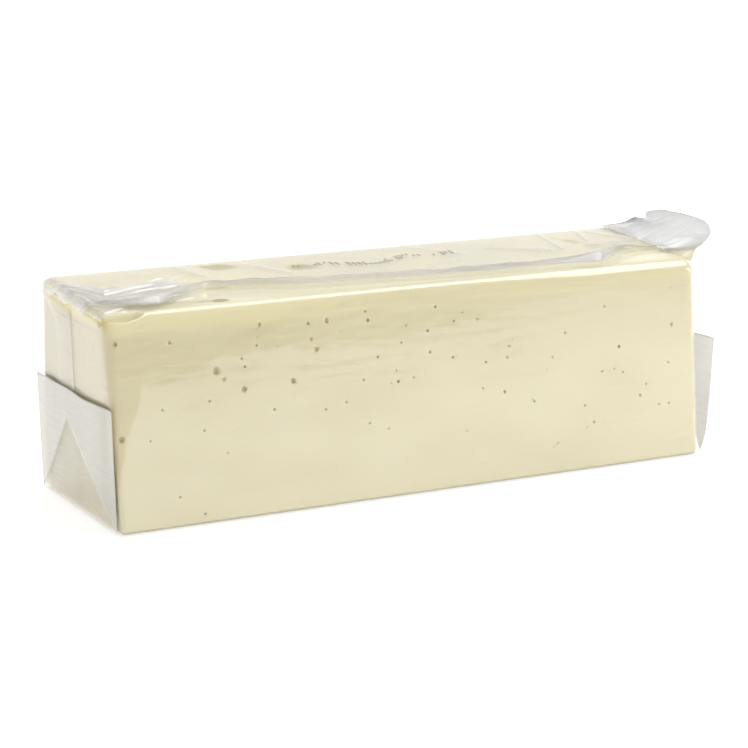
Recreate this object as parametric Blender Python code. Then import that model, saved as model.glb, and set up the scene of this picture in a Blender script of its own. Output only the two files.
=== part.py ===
"""American cheese loaf in its folded film wrap.

The loaf is a long block of white processed cheese, moulded wider at the base
than at the top. One sheet of clear film goes round it: a base panel, a front
panel and a back panel that lap on the top, tucks folded round the four
upright edges, a lower flap folded up each end and a loose tail of film at the
right end. The film is cut at its folds into panels here, so that each panel
is one thin closed solid.

Frame: metres, +Z up, +X along the loaf to the right, the front face towards
-Y, the origin in the middle of the face that the loaf rests on.

Every surface is worked out from one form, the outside of the wrapped loaf: a
cross-section of four leaning sides with round corners, which runs between two
round-edged ends. A point of it is named by its place round the section (a
region and a fraction of it) and by its place along the loaf (a Column). The
block lies inside that form and the film on it.
"""

import math
from dataclasses import dataclass

import bmesh
import bpy
from mathutils import Vector

# Driving dimensions of the wrapped loaf
BASE_LENGTH = 0.280
BASE_WIDTH = 0.0904
FRONT_HEIGHT = 0.0888
BACK_HEIGHT = 0.0945
FRONT_LEAN = 0.0095
BACK_LEAN = 0.0085
END_FLARE = 0.0026
TOP_CROWN = 0.0006

# Round edges
BASE_EDGE_RADIUS = 0.0026
FRONT_TOP_RADIUS = 0.0078
BACK_TOP_RADIUS = 0.0052
END_RADIUS_LOW = 0.0025
END_RADIUS_HIGH = 0.0050

# The dent in the top's front edge near the left end: how deep it is, where it
# fades out along the loaf, up the edge and across it, and how much deeper the
# block's own dent is than the film's
DENT_DEPTH = 0.0028
DENT_ALONG = (0.1205, 0.1310)
DENT_UP = (FRONT_HEIGHT - FRONT_TOP_RADIUS, FRONT_HEIGHT - 0.0015)
DENT_ACROSS = (0.0288, 0.0335)
BLOCK_DENT_SHARE = 1.25

# Film panels, and the gap that touching solids keep
FILM = 0.00035
FLAP_FILM = 0.0005
GAP = 0.00033
LAYER = FILM + GAP
HEM_SHARE = 0.5
TAIL_CLEAR = 2 * LAYER

# The lap on the top: the width of the strip under it, the width over which the
# panel above comes back down, and the gap between the strip's skirt and its own
LAP_OVERLAP = 0.012
LAP_START = 0.0004
LAP_RISE = 0.0045
LAP_EDGE_EASE = 0.0030
LIP_TILT = 0.0009
SKIRT_LIP = (0.0002, -0.0012, 0.0004)
SKIRT_SLIT = 0.0025

# The top film's skirt over the ends: how far it hangs, and stands off the tucks
SKIRT_CLEAR = 2 * LAYER
SKIRT_BULGE_START = 0.25
RIGHT_SKIRT_DROP = 0.0035
LEFT_SKIRT_DROP = (0.0025, 0.0070)
LEFT_DROP_ACROSS = (-0.0330, 0.0080)
SKIRT_STAND = 0.0004
LEFT_SKIRT_STAND = 0.0010
LEFT_STAND_ACROSS = (-0.0200, 0.0200)
EAR_STAND = 0.0026
EAR_LIFT = 0.0060
EAR_ACROSS = (0.0250, 0.0315)

# Where the end tucks stop, across the loaf, and how the front ones climb on the
# back ones
FRONT_TUCK_EDGE = 0.0175
BACK_TUCK_EDGE = 0.0010
BACK_TUCK_SINK = 0.045
TUCK_CLIMB = (BACK_TUCK_EDGE - 0.0060, BACK_TUCK_EDGE - 0.0008)

# The lower flaps' height, their foot above the base, and the height over which
# they spring off the end
FLAP_HEIGHT = 0.0515
FLAP_FOOT = 0.0012
FLAP_SPRING_HEIGHT = 0.0050
FLAP_ROW_POWER = 1.5

# The lap on the top: the back panel's free edge at stations along the loaf
LAP_LINE = (
    (-0.1430, -0.0170),
    (-0.1273, -0.0238),
    (-0.1160, -0.0250),
    (-0.1098, -0.0230),
    (-0.1029, -0.0180),
    (-0.0935, -0.0134),
    (-0.0846, -0.0101),
    (-0.0719, -0.0122),
    (-0.0470, -0.0181),
    (-0.0108, -0.0211),
    (0.0265, -0.0238),
    (0.0661, -0.0248),
    (0.0943, -0.0252),
    (0.1005, -0.0242),
    (0.1072, -0.0204),
    (0.1183, -0.0133),
    (0.1430, -0.0120),
)

# Height of the upright lip along the lap's free edge
LIP_LINE = (
    (-0.1430, 0.0014),
    (-0.1150, 0.0034),
    (-0.0900, 0.0030),
    (-0.0500, 0.0030),
    (-0.0140, 0.0020),
    (0.0300, 0.0019),
    (0.0700, 0.0026),
    (0.0950, 0.0048),
    (0.1072, 0.0040),
    (0.1183, 0.0022),
    (0.1280, 0.0005),
    (0.1430, 0.0004),
)

# The tail at the right end: its root on the top, then the reach along the loaf,
# the place across it and the height of its free edge, each from the back corner
# (0) to the front one (1)
TAIL_ROOT_X = 0.1330
TAIL_ROOT_BACK = 0.0225
TAIL_ROOT_FRONT = -0.0280
TAIL_REACH = (
    (0.0, 0.1500), (0.2, 0.1545), (0.4, 0.1562), (0.65, 0.1580), (0.85, 0.1580), (1.0, 0.1556),
)
TAIL_ACROSS = (
    (0.0, 0.0175), (0.2, 0.0115), (0.4, 0.0045), (0.65, -0.0060), (0.85, -0.0185), (1.0, -0.0265),
)
TAIL_HEIGHT = (
    (0.0, 0.1020), (0.2, 0.1041), (0.4, 0.1036), (0.65, 0.1033), (0.85, 0.1022), (1.0, 0.0998),
)
TAIL_RISE = 1.5
TAIL_PLEATS = 2.5
TAIL_PLEAT_HEIGHT = 0.0007

# The largest pinholes of the front face: x, height and radius
FRONT_PITS = (
    (-0.1372, 0.0395, 0.00120),
    (-0.0946, 0.0628, 0.00125),
    (-0.0826, 0.0540, 0.00105),
    (-0.0604, 0.0552, 0.00105),
    (-0.0438, 0.0785, 0.00085),
    (-0.1374, 0.0777, 0.00090),
    (-0.1142, 0.0761, 0.00070),
    (-0.0489, 0.0671, 0.00080),
    (-0.0512, 0.0715, 0.00070),
    (-0.0912, 0.0589, 0.00075),
    (-0.0743, 0.0797, 0.00070),
    (0.1275, 0.0609, 0.00070),
)
PIT_DEPTH_SHARE = 0.7

# Fineness of the faceted surfaces: steps along the loaf, crowded towards its
# ends, round an end's edge, over a tuck and round the section
LENGTH_STEPS = 31
END_CROWDING = 0.70
END_STEPS = 4
TUCK_STEPS = 4
BLOCK_STEPS = {
    "front_base": 3, "front": 6, "front_top": 6, "top": 6,
    "back_top": 5, "back": 4, "back_base": 3, "base": 2,
}
FRONT_STRIP_STEPS = 3
UNDER_LAP_STEPS = 2
BACK_STRIP_STEPS = 8
BASE_PANEL_STEPS = 4
FLAP_UP_STEPS = 9
FLAP_ACROSS_STEPS = 6
TAIL_OUT_STEPS = 8
TAIL_ACROSS_STEPS = 16
SHARP_ANGLE = math.radians(35)

# Colours of the cheese, of film lying on it and of film standing free
CHEESE = (0.83, 0.75, 0.54)
LAID_FILM = (0.90, 0.88, 0.81)
FREE_FILM = (0.86, 0.85, 0.81)

HALF_LENGTH = BASE_LENGTH / 2
HALF_WIDTH = BASE_WIDTH / 2
QUARTER_TURN = math.pi / 2


def smooth_step(value, low, high):
    """Fraction from 0 at low to 1 at high, level at both."""
    share = min(max((value - low) / (high - low), 0.0), 1.0)
    return share * share * (3 - 2 * share)


def line_slope(line, index):
    """Slope of a curve at one of a line's points, from the points beside it."""
    x0, y0 = line[max(index - 1, 0)]
    x1, y1 = line[min(index + 1, len(line) - 1)]
    return (y1 - y0) / (x1 - x0)


def read_line(line, x):
    """Value at x of a smooth curve through a line's points."""
    if x <= line[0][0]:
        return line[0][1]
    for index in range(len(line) - 1):
        (x0, y0), (x1, y1) = line[index], line[index + 1]
        if x <= x1:
            span = x1 - x0
            t = (x - x0) / span
            rest = 1 - t
            leaving = line_slope(line, index) * span
            arriving = line_slope(line, index + 1) * span
            start = y0 * (1 + 2 * t) * rest * rest + leaving * t * rest * rest
            end = y1 * t * t * (3 - 2 * t) - arriving * t * t * rest
            return start + end
    return line[-1][1]


# ---------------------------------------------------------------- the form

CORNERS = {
    "front_base": (-HALF_WIDTH, 0.0, BASE_EDGE_RADIUS),
    "front_top": (-HALF_WIDTH + FRONT_LEAN, FRONT_HEIGHT, FRONT_TOP_RADIUS),
    "back_top": (HALF_WIDTH - BACK_LEAN, BACK_HEIGHT, BACK_TOP_RADIUS),
    "back_base": (HALF_WIDTH, 0.0, BASE_EDGE_RADIUS),
}
CORNER_ORDER = tuple(CORNERS)
SIDES = {
    "front": ("front_base", "front_top"),
    "top": ("front_top", "back_top"),
    "back": ("back_top", "back_base"),
    "base": ("back_base", "front_base"),
}


def unit(dy, dz):
    """A direction in the section, of length 1."""
    length = math.hypot(dy, dz)
    return dy / length, dz / length


def corner_arc(name):
    """Centre, radius, first angle and sweep of a round corner.

    The section is followed from the front's base up, over the top and down
    the back, so every angle falls along it.
    """
    index = CORNER_ORDER.index(name)
    y, z, radius = CORNERS[name]
    y_in, z_in, _ = CORNERS[CORNER_ORDER[index - 1]]
    y_out, z_out, _ = CORNERS[CORNER_ORDER[(index + 1) % len(CORNER_ORDER)]]
    back_y, back_z = unit(y_in - y, z_in - z)
    on_y, on_z = unit(y_out - y, z_out - z)
    opening = math.acos(back_y * on_y + back_z * on_z)
    mid_y, mid_z = unit(back_y + on_y, back_z + on_z)
    reach = radius / math.sin(opening / 2)
    centre = (y + mid_y * reach, z + mid_z * reach)
    first = math.atan2(-back_y, back_z)
    return centre, radius, first, math.pi - opening


def arc_point(name, fraction):
    """Point and outward normal on a round corner."""
    centre, radius, first, sweep = corner_arc(name)
    angle = first - sweep * fraction
    normal = (math.cos(angle), math.sin(angle))
    return (centre[0] + radius * normal[0], centre[1] + radius * normal[1]), normal


def side_point(name, fraction):
    """Point and outward normal on a side, between its two round corners."""
    start_corner, end_corner = SIDES[name]
    (y0, z0), normal = arc_point(start_corner, 1.0)
    (y1, z1), _ = arc_point(end_corner, 0.0)
    y = y0 + (y1 - y0) * fraction
    z = z0 + (z1 - z0) * fraction
    if name == "top":
        z += TOP_CROWN * 4 * fraction * (1 - fraction)
    return (y, z), normal


def section_point(region, fraction):
    """Point and outward normal at a named place round the section."""
    if region in SIDES:
        return side_point(region, fraction)
    return arc_point(region, fraction)


def top_fraction(y):
    """Fraction of the top's straight part at a place across the loaf."""
    (y0, _), _ = side_point("top", 0.0)
    (y1, _), _ = side_point("top", 1.0)
    return (y - y0) / (y1 - y0)


def corner_dent(x, y, z):
    """How far the top's front edge is pressed in near the left end."""
    along = smooth_step(-x, *DENT_ALONG)
    height = smooth_step(z, *DENT_UP)
    across = smooth_step(-y, *DENT_ACROSS)
    return DENT_DEPTH * along * height * across


def end_radius(z):
    """Radius of the upright end edges at a height."""
    return END_RADIUS_LOW + (END_RADIUS_HIGH - END_RADIUS_LOW) * z / BACK_HEIGHT


def end_reach(z):
    """Distance from the loaf's middle to its end face at a height."""
    return HALF_LENGTH + END_FLARE * z / BACK_HEIGHT


@dataclass(frozen=True)
class Column:
    """A place along the loaf.

    side is -1 at the left end, +1 at the right end and 0 between them. share
    is the fraction of the straight part, from -1 to 1, turn is the angle
    round an end's edge and onward is the fraction of the way across the end.
    """

    side: int
    share: float = 0.0
    turn: float = 0.0
    onward: float = 0.0


def form_point(region, fraction, column, offset, dent_share=1.0):
    """Point of the wrapped loaf's outside, moved out by an offset."""
    (y, z), (ny, nz) = section_point(region, fraction)
    radius = end_radius(z)
    straight = end_reach(z) - radius
    if column.side == 0:
        x = column.share * straight
        out = offset
    else:
        x = column.side * (straight + (radius + offset) * math.sin(column.turn))
        out = (radius + offset) * math.cos(column.turn) - radius
    out -= corner_dent(x, y, z) * dent_share
    return Vector((x, y + ny * out, z + nz * out))


def straight_columns():
    """Columns of the straight part, closer together towards its ends."""
    columns = []
    for step in range(LENGTH_STEPS + 1):
        even = 2 * step / LENGTH_STEPS - 1
        crowded = math.sin(even * QUARTER_TURN)
        columns.append(Column(0, share=even + (crowded - even) * END_CROWDING))
    return columns


def edge_columns(side):
    """Columns round one end's edge, from the straight part outwards."""
    return [
        Column(side, turn=QUARTER_TURN * step / END_STEPS)
        for step in range(1, END_STEPS + 1)
    ]


# ------------------------------------------------------------ mesh building


def make_object(name, mesh_data, colour, roughness, alpha=1.0):
    """Turn a bmesh into a named object with its own material."""
    mesh = bpy.data.meshes.new(name)
    mesh_data.to_mesh(mesh)
    mesh_data.free()
    mesh.shade_smooth()
    mesh.set_sharp_from_angle(angle=SHARP_ANGLE)
    part = bpy.data.objects.new(name, mesh)
    bpy.context.scene.collection.objects.link(part)
    material = bpy.data.materials.new(name)
    material.use_nodes = True
    shader = material.node_tree.nodes["Principled BSDF"]
    shader.inputs["Base Color"].default_value = (*colour, 1.0)
    shader.inputs["Roughness"].default_value = roughness
    shader.inputs["Alpha"].default_value = alpha
    mesh.materials.append(material)
    return part


def grid_normals(grid, cells):
    """Unit normals at a grid's points, each the mean over the cells that meet there."""
    sums = {}
    for i, j in cells:
        loop = ((i, j), (i, j + 1), (i + 1, j + 1), (i + 1, j))
        first, second, third, fourth = (grid[a][b] for a, b in loop)
        facing = (third - first).cross(fourth - second)
        for place in loop:
            sums[place] = sums.get(place, Vector()) + facing
    return {place: total.normalized() for place, total in sums.items()}


def film_solid(grid, kept, thickness):
    """Closed solid between a grid of outer points and a face behind it.

    Rows run up the film and columns along it, so that along x up points out.
    kept lists the cells (row, column) that the film covers. Both faces are
    split into triangles alike.
    """
    cells = set(kept)
    normals = grid_normals(grid, sorted(cells))
    mesh_data = bmesh.new()
    outer = {}
    inner = {}

    def corner(store, i, j, depth):
        """The vertex at a grid point, made the first time it is asked for."""
        if (i, j) not in store:
            place = grid[i][j] - normals[i, j] * depth
            store[i, j] = mesh_data.verts.new(place)
        return store[i, j]

    for i, j in sorted(cells):
        loop = ((i, j), (i, j + 1), (i + 1, j + 1), (i + 1, j))
        front = [corner(outer, a, b, 0.0) for a, b in loop]
        rear = [corner(inner, a, b, thickness) for a, b in loop]
        mesh_data.faces.new((front[0], front[1], front[2]))
        mesh_data.faces.new((front[0], front[2], front[3]))
        mesh_data.faces.new((rear[0], rear[2], rear[1]))
        mesh_data.faces.new((rear[0], rear[3], rear[2]))
        beside = ((i - 1, j), (i, j + 1), (i + 1, j), (i, j - 1))
        for side, cell in enumerate(beside):
            if cell in cells:
                continue
            after = (side + 1) % len(loop)
            wall = (front[side], rear[side], rear[after], front[after])
            mesh_data.faces.new((wall[0], wall[1], wall[2]))
            mesh_data.faces.new((wall[0], wall[2], wall[3]))
    return mesh_data


def all_cells(row_steps, column_steps):
    """Every cell of a grid with these numbers of steps."""
    return [(i, j) for i in range(row_steps) for j in range(column_steps)]


# ---------------------------------------------------------------- the block


def build_block():
    """The cheese block, with its largest pinholes cut into the front."""
    rows = [
        (region, step / count)
        for region, count in BLOCK_STEPS.items()
        for step in range(count)
    ]
    left = list(reversed(edge_columns(-1)))
    mesh_data = bmesh.new()
    rings = []
    for column in left + straight_columns() + edge_columns(1):
        ring = [
            form_point(region, fraction, column, -LAYER, BLOCK_DENT_SHARE)
            for region, fraction in rows
        ]
        rings.append([mesh_data.verts.new(place) for place in ring])
    count = len(rows)
    for ring, following in zip(rings, rings[1:]):
        for i in range(count):
            j = (i + 1) % count
            mesh_data.faces.new((ring[i], following[i], following[j], ring[j]))
    mesh_data.faces.new(rings[0])
    mesh_data.faces.new(tuple(reversed(rings[-1])))
    bmesh.ops.triangulate(mesh_data, faces=mesh_data.faces[:])
    bmesh.ops.recalc_face_normals(mesh_data, faces=mesh_data.faces[:])
    block = make_object("cheese_loaf", mesh_data, CHEESE, 0.45)
    cut_pits(block)


def block_front_place(x, height):
    """Point and outward normal on the block's front face at a height."""
    (_, z0), _ = side_point("front", 0.0)
    (_, z1), _ = side_point("front", 1.0)
    (y, z), (ny, nz) = side_point("front", (height - z0) / (z1 - z0))
    return Vector((x, y - ny * LAYER, z - nz * LAYER)), Vector((0.0, ny, nz))


def cut_pits(block):
    """Cut small round hollows into the block's front face."""
    cutter_mesh = bmesh.new()
    for x, height, radius in FRONT_PITS:
        place, normal = block_front_place(x, height)
        centre = place + normal * radius * (1 - PIT_DEPTH_SHARE)
        made = bmesh.ops.create_icosphere(cutter_mesh, subdivisions=1, radius=radius)
        bmesh.ops.translate(cutter_mesh, verts=made["verts"], vec=centre)
    cutter = make_object("pit_cutter", cutter_mesh, CHEESE, 0.5)
    cutter.hide_render = True
    cutter.display_type = "WIRE"
    cut = block.modifiers.new("pits", "BOOLEAN")
    cut.operation = "DIFFERENCE"
    cut.solver = "EXACT"
    cut.object = cutter


# ----------------------------------------------------------------- the film


@dataclass(frozen=True)
class Ridge:
    """A fold of film that stands above the top: a straight, soft-sided crest."""

    start: tuple
    end: tuple
    height: float
    width: float

    def lift(self, x, y):
        """Height of this fold above the top at a place on the top."""
        ax, ay = self.start
        bx, by = self.end
        along = (x - ax) * (bx - ax) + (y - ay) * (by - ay)
        length_squared = (bx - ax) ** 2 + (by - ay) ** 2
        fraction = min(max(along / length_squared, 0.0), 1.0)
        gap = math.hypot(x - ax - fraction * (bx - ax), y - ay - fraction * (by - ay))
        return self.height * math.exp(-((gap / self.width) ** 2))


# Crumples at the left end, then single folds across the back strip
TOP_RIDGES = (
    Ridge((-0.136, 0.026), (-0.102, 0.004), 0.0024, 0.0040),
    Ridge((-0.136, 0.008), (-0.118, -0.006), 0.0022, 0.0036),
    Ridge((-0.130, 0.016), (-0.112, 0.013), 0.0012, 0.0040),
    Ridge((0.088, 0.034), (0.112, 0.010), 0.0012, 0.0045),
    Ridge((0.118, 0.030), (0.130, 0.014), 0.0020, 0.0040),
    Ridge((0.110, -0.010), (0.126, -0.004), 0.0014, 0.0045),
)


def tuck_point(place, column, edge, layers, sink):
    """Point of a tuck that runs on from an upright edge across the end.

    place is the point where the tuck leaves the round edge, edge is where it
    stops across the loaf, layers is its height above the end face where it
    lies on another tuck and sink is the share of its height that it loses.
    """
    y = place.y + (edge - place.y) * column.onward
    z = place.z * (1 - sink * column.onward)
    x = column.side * (end_reach(z) + layers * smooth_step(y, *TUCK_CLIMB))
    return Vector((x, y, z))


def skirt_drop(side, y):
    """How far the top film hangs over an end at a place across the loaf."""
    if side > 0:
        return RIGHT_SKIRT_DROP
    front, back = LEFT_SKIRT_DROP
    return front + (back - front) * smooth_step(y, *LEFT_DROP_ACROSS)


def ear(side, y):
    """Share of the ear that the left skirt ends in at the back."""
    return smooth_step(y, *EAR_ACROSS) if side < 0 else 0.0


def skirt_stand(side, y):
    """How far the top film stands off an end's tucks at a place across the loaf."""
    if side > 0:
        return SKIRT_STAND
    stand = SKIRT_STAND + LEFT_SKIRT_STAND * smooth_step(y, *LEFT_STAND_ACROSS)
    return stand + EAR_STAND * ear(side, y)


def skirt_point(place, column):
    """Point of the film that hangs from the top over an end."""
    fall = column.onward
    lift = EAR_LIFT * ear(column.side, place.y) * math.sin(math.pi * fall)
    z = place.z - skirt_drop(column.side, place.y) * fall + lift
    bulge = math.sin(math.pi * (SKIRT_BULGE_START + (1 - SKIRT_BULGE_START) * fall))
    off = SKIRT_CLEAR + skirt_stand(column.side, place.y) * bulge
    reach = max(end_reach(z) + off, abs(place.x))
    return Vector((column.side * reach, place.y, z))


def film_columns():
    """Columns of a panel: left tuck, left edge, straight part, right edge, right tuck."""
    onward = [(step + 1) / TUCK_STEPS for step in range(TUCK_STEPS)]
    left = [Column(-1, turn=QUARTER_TURN, onward=share) for share in reversed(onward)]
    left += reversed(edge_columns(-1))
    right = edge_columns(1)
    right += [Column(1, turn=QUARTER_TURN, onward=share) for share in onward]
    return left + straight_columns() + right


def top_panel_point(y, column, offset):
    """Point of a panel's strip on the top, or of its skirt over an end."""
    place = form_point("top", top_fraction(y), column, offset)
    if column.onward == 0.0:
        return place
    return skirt_point(place, column)


def front_panel_point(region, fraction, column):
    """Point of the front panel below the top, or of its tucks over the ends."""
    place = form_point(region, fraction, column, 0.0)
    if column.onward == 0.0:
        return place
    return tuck_point(place, column, FRONT_TUCK_EDGE, LAYER, 0.0)


def back_panel_point(region, fraction, column):
    """Point of the back panel below the top, or of its tucks over the ends."""
    place = form_point(region, fraction, column, 0.0)
    if column.onward == 0.0:
        return place
    return tuck_point(place, column, BACK_TUCK_EDGE, 0.0, BACK_TUCK_SINK)


def panel_cells(row_kinds, columns):
    """Cells of a panel: its face, its tucks and its skirts, without the corners.

    Beyond the ends' edges a cell is kept only between two rows of one kind,
    the side rows of a tuck or the top rows of a skirt.
    """
    kept = []
    for i, kinds in enumerate(zip(row_kinds, row_kinds[1:])):
        runs_on = kinds in (("side", "side"), ("top", "top"))
        for j in range(len(columns) - 1):
            beyond = columns[j].onward > 0 or columns[j + 1].onward > 0
            if runs_on or not beyond:
                kept.append((i, j))
    return kept


def front_strip_rows(columns):
    """Kinds and points of the front panel's rows on the top, to under the lap."""
    kinds = []
    grid = []
    (y_start, _), _ = side_point("top", 0.0)
    for step in range(FRONT_STRIP_STEPS + UNDER_LAP_STEPS + 1):
        shown = step <= FRONT_STRIP_STEPS
        kinds.append("top" if shown else "under")
        line = []
        for column in columns:
            y_lap = read_line(LAP_LINE, form_point("top", 0.0, column, 0.0).x)
            if shown:
                reach = y_lap - SKIRT_SLIT - y_start
                y = y_start + reach * step / FRONT_STRIP_STEPS
            else:
                y = y_lap + LAP_OVERLAP * (step - FRONT_STRIP_STEPS) / UNDER_LAP_STEPS
            line.append(top_panel_point(y, column, 0.0))
        grid.append(line)
    return kinds, grid


def build_front_panel():
    """Front of the film: hem, front face, top edge and the strip under the lap."""
    columns = film_columns()
    side_steps = BLOCK_STEPS["front"]
    arc_steps = BLOCK_STEPS["front_top"]
    rows = [("front_base", 1 - HEM_SHARE, "hem"), ("front_base", 1.0, "side")]
    rows += [("front", step / side_steps, "side") for step in range(1, side_steps + 1)]
    rows += [("front_top", step / arc_steps, "arc") for step in range(1, arc_steps)]
    kinds = [kind for _, _, kind in rows]
    grid = [
        [front_panel_point(region, fraction, column) for column in columns]
        for region, fraction, _ in rows
    ]
    strip_kinds, strip = front_strip_rows(columns)
    cells = panel_cells(kinds + strip_kinds, columns)
    mesh_data = film_solid(grid + strip, cells, FILM)
    make_object("wrap_front", mesh_data, LAID_FILM, 0.15, 0.4)


def back_lift(x, y):
    """Height of the back panel above the form: over the front strip, with folds."""
    under = read_line(LAP_LINE, x) + LAP_OVERLAP
    over = LAYER * (1 - smooth_step(y, under + LAP_START, under + LAP_RISE))
    return over + sum(ridge.lift(x, y) for ridge in TOP_RIDGES)


def back_strip_rows(columns):
    """Points of the back panel's rows on the top, from the lap's edge backwards."""
    grid = []
    (y_start, _), _ = side_point("top", 1.0)
    for step in range(BACK_STRIP_STEPS + 1):
        line = []
        for column in columns:
            x = form_point("top", 0.5, column, 0.0).x
            y_edge = read_line(LAP_LINE, x)
            y = y_edge + (y_start - y_edge) * step / BACK_STRIP_STEPS
            lift = back_lift(x, y) * smooth_step(y_start - y, 0.0, LAP_EDGE_EASE)
            line.append(top_panel_point(y, column, lift))
        grid.append(line)
    return grid


def lip_row(edge_row, columns):
    """Points of the upright lip that ends the lap's free edge."""
    row = []
    for place, column in zip(edge_row, columns):
        out, along_y, up = SKIRT_LIP
        if column.onward == 0:
            out, along_y, up = 0.0, -LIP_TILT, read_line(LIP_LINE, place.x)
        row.append(place + Vector((column.side * out, along_y, up)))
    return row


def build_back_panel():
    """Back of the film: hem, back face, top edge and the strip over the lap."""
    columns = film_columns()
    side_steps = BLOCK_STEPS["back"]
    arc_steps = BLOCK_STEPS["back_top"]
    strip = back_strip_rows(columns)
    strip.insert(0, lip_row(strip[0], columns))
    rows = [("back_top", step / arc_steps, "arc") for step in range(1, arc_steps)]
    rows += [("back", step / side_steps, "side") for step in range(side_steps + 1)]
    rows += [("back_base", HEM_SHARE, "side")]
    kinds = ["top"] * len(strip) + [kind for _, _, kind in rows]
    grid = [
        [back_panel_point(region, fraction, column) for column in columns]
        for region, fraction, _ in rows
    ]
    mesh_data = film_solid(strip + grid, panel_cells(kinds, columns), FILM)
    make_object("wrap_back", mesh_data, LAID_FILM, 0.15, 0.4)


def build_base_panel():
    """Flat base of the film, which the loaf rests on."""
    half_x = HALF_LENGTH - END_RADIUS_LOW
    half_y = HALF_WIDTH - BASE_EDGE_RADIUS
    shares = [2 * step / BASE_PANEL_STEPS - 1 for step in range(BASE_PANEL_STEPS + 1)]
    grid = [[Vector((half_x * u, half_y * v, FILM)) for u in shares] for v in shares]
    cells = all_cells(BASE_PANEL_STEPS, BASE_PANEL_STEPS)
    make_object("wrap_base", film_solid(grid, cells, FILM), LAID_FILM, 0.15, 0.4)


def base_round(z):
    """How far the end face is drawn in by the round edge at its base."""
    below = max(END_RADIUS_LOW - z, 0.0)
    return END_RADIUS_LOW - math.sqrt(END_RADIUS_LOW ** 2 - below ** 2)


@dataclass(frozen=True)
class Flap:
    """A lower flap: film folded up one end from the base.

    stand_low is how far it springs off the end just above the base, and
    stand_high how much further it stands off at its top edge.
    """

    name: str
    side: int
    front_edge: float
    back_edge: float
    stand_low: float
    stand_high: float
    height: float

    def stand(self, z):
        """How far the flap stands off the end face at a height."""
        spring = self.stand_low * (1 - math.exp(-z / FLAP_SPRING_HEIGHT))
        return 2 * LAYER + spring + self.stand_high * z / self.height

    def build(self):
        """The flap as a thin solid that leaves the base's edge and rises."""
        grid = []
        for i in range(FLAP_UP_STEPS + 1):
            rise = (i / FLAP_UP_STEPS) ** FLAP_ROW_POWER
            z = FLAP_FOOT + (self.height - FLAP_FOOT) * rise
            x = end_reach(z) - base_round(z) + self.stand(z)
            line = []
            for j in range(FLAP_ACROSS_STEPS + 1):
                across = j / FLAP_ACROSS_STEPS
                y = self.front_edge + (self.back_edge - self.front_edge) * across
                line.append(Vector((self.side * x, y, z)))
            if self.side < 0:
                line.reverse()
            grid.append(line)
        cells = all_cells(FLAP_UP_STEPS, FLAP_ACROSS_STEPS)
        mesh_data = film_solid(grid, cells, FLAP_FILM)
        make_object(self.name, mesh_data, FREE_FILM, 0.2, 0.6)


FLAPS = (
    Flap("wrap_left_flap", -1, -0.0405, 0.0418, 0.0003, 0.0003, FLAP_HEIGHT),
    Flap("wrap_right_flap", 1, -0.0412, 0.0400, 0.0042, 0.0014, FLAP_HEIGHT + 0.0012),
)


def tail_root(across):
    """Point of the tail's root, just above the film on the top."""
    y = TAIL_ROOT_BACK + (TAIL_ROOT_FRONT - TAIL_ROOT_BACK) * across
    (_, z), _ = side_point("top", top_fraction(y))
    return Vector((TAIL_ROOT_X, y, z + back_lift(TAIL_ROOT_X, y) + TAIL_CLEAR))


def tail_edge(across):
    """Point of the tail's free edge, from its back corner to its front one."""
    lines = (TAIL_REACH, TAIL_ACROSS, TAIL_HEIGHT)
    return Vector([read_line(line, across) for line in lines])


def build_tail():
    """Loose tail of film that rises from the top and stands out over the right end."""
    grid = []
    for i in range(TAIL_ACROSS_STEPS + 1):
        across = i / TAIL_ACROSS_STEPS
        root = tail_root(across)
        edge = tail_edge(across)
        pleat = TAIL_PLEAT_HEIGHT * math.sin(2 * math.pi * TAIL_PLEATS * across)
        line = []
        for j in range(TAIL_OUT_STEPS + 1):
            out = j / TAIL_OUT_STEPS
            place = root.lerp(edge, out)
            rise = (edge.z - root.z) * out ** TAIL_RISE
            place.z = root.z + rise + pleat * out * out
            line.append(place)
        grid.append(line)
    grid.reverse()
    cells = all_cells(TAIL_ACROSS_STEPS, TAIL_OUT_STEPS)
    mesh_data = film_solid(grid, cells, FLAP_FILM)
    make_object("wrap_tail", mesh_data, FREE_FILM, 0.2, 0.6)


def main():
    """Clear the scene and build the block and each panel of its film."""
    for item in list(bpy.data.objects):
        bpy.data.objects.remove(item)
    build_block()
    build_base_panel()
    build_front_panel()
    build_back_panel()
    for flap in FLAPS:
        flap.build()
    build_tail()


main()
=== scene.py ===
"""Looks of a white american cheese loaf in one folded sheet of clear film.

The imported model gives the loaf's solids, and this script dresses them: a
smooth cheese block with pinholes, and the film's panels as thin sheets with
their lap, tucks, gathers, lower flaps and loose tail. Everything is in metres
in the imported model's frame: +X along the loaf, the front face towards -Y, +Z
up and the origin in the middle of the base.
"""

from __future__ import annotations

import logging
import math
from dataclasses import dataclass, field
from enum import Enum
from functools import cached_property
from typing import Any, Callable, Sequence

import bmesh
import bpy
from mathutils import Matrix, Quaternion, Vector, noise


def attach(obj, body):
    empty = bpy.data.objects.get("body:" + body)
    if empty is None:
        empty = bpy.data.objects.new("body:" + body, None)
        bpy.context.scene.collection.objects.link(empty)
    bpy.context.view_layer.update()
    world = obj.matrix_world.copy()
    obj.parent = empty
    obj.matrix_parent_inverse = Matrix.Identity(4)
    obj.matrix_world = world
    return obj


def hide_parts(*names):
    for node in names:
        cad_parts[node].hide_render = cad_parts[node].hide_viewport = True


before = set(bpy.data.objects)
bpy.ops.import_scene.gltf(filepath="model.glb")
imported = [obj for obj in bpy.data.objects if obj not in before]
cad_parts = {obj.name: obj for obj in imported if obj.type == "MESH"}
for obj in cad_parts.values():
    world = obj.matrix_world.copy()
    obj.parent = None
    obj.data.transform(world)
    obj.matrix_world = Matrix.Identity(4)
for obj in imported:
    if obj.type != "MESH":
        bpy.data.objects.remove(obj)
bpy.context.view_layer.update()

log = logging.getLogger("cheese_loaf")

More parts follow.
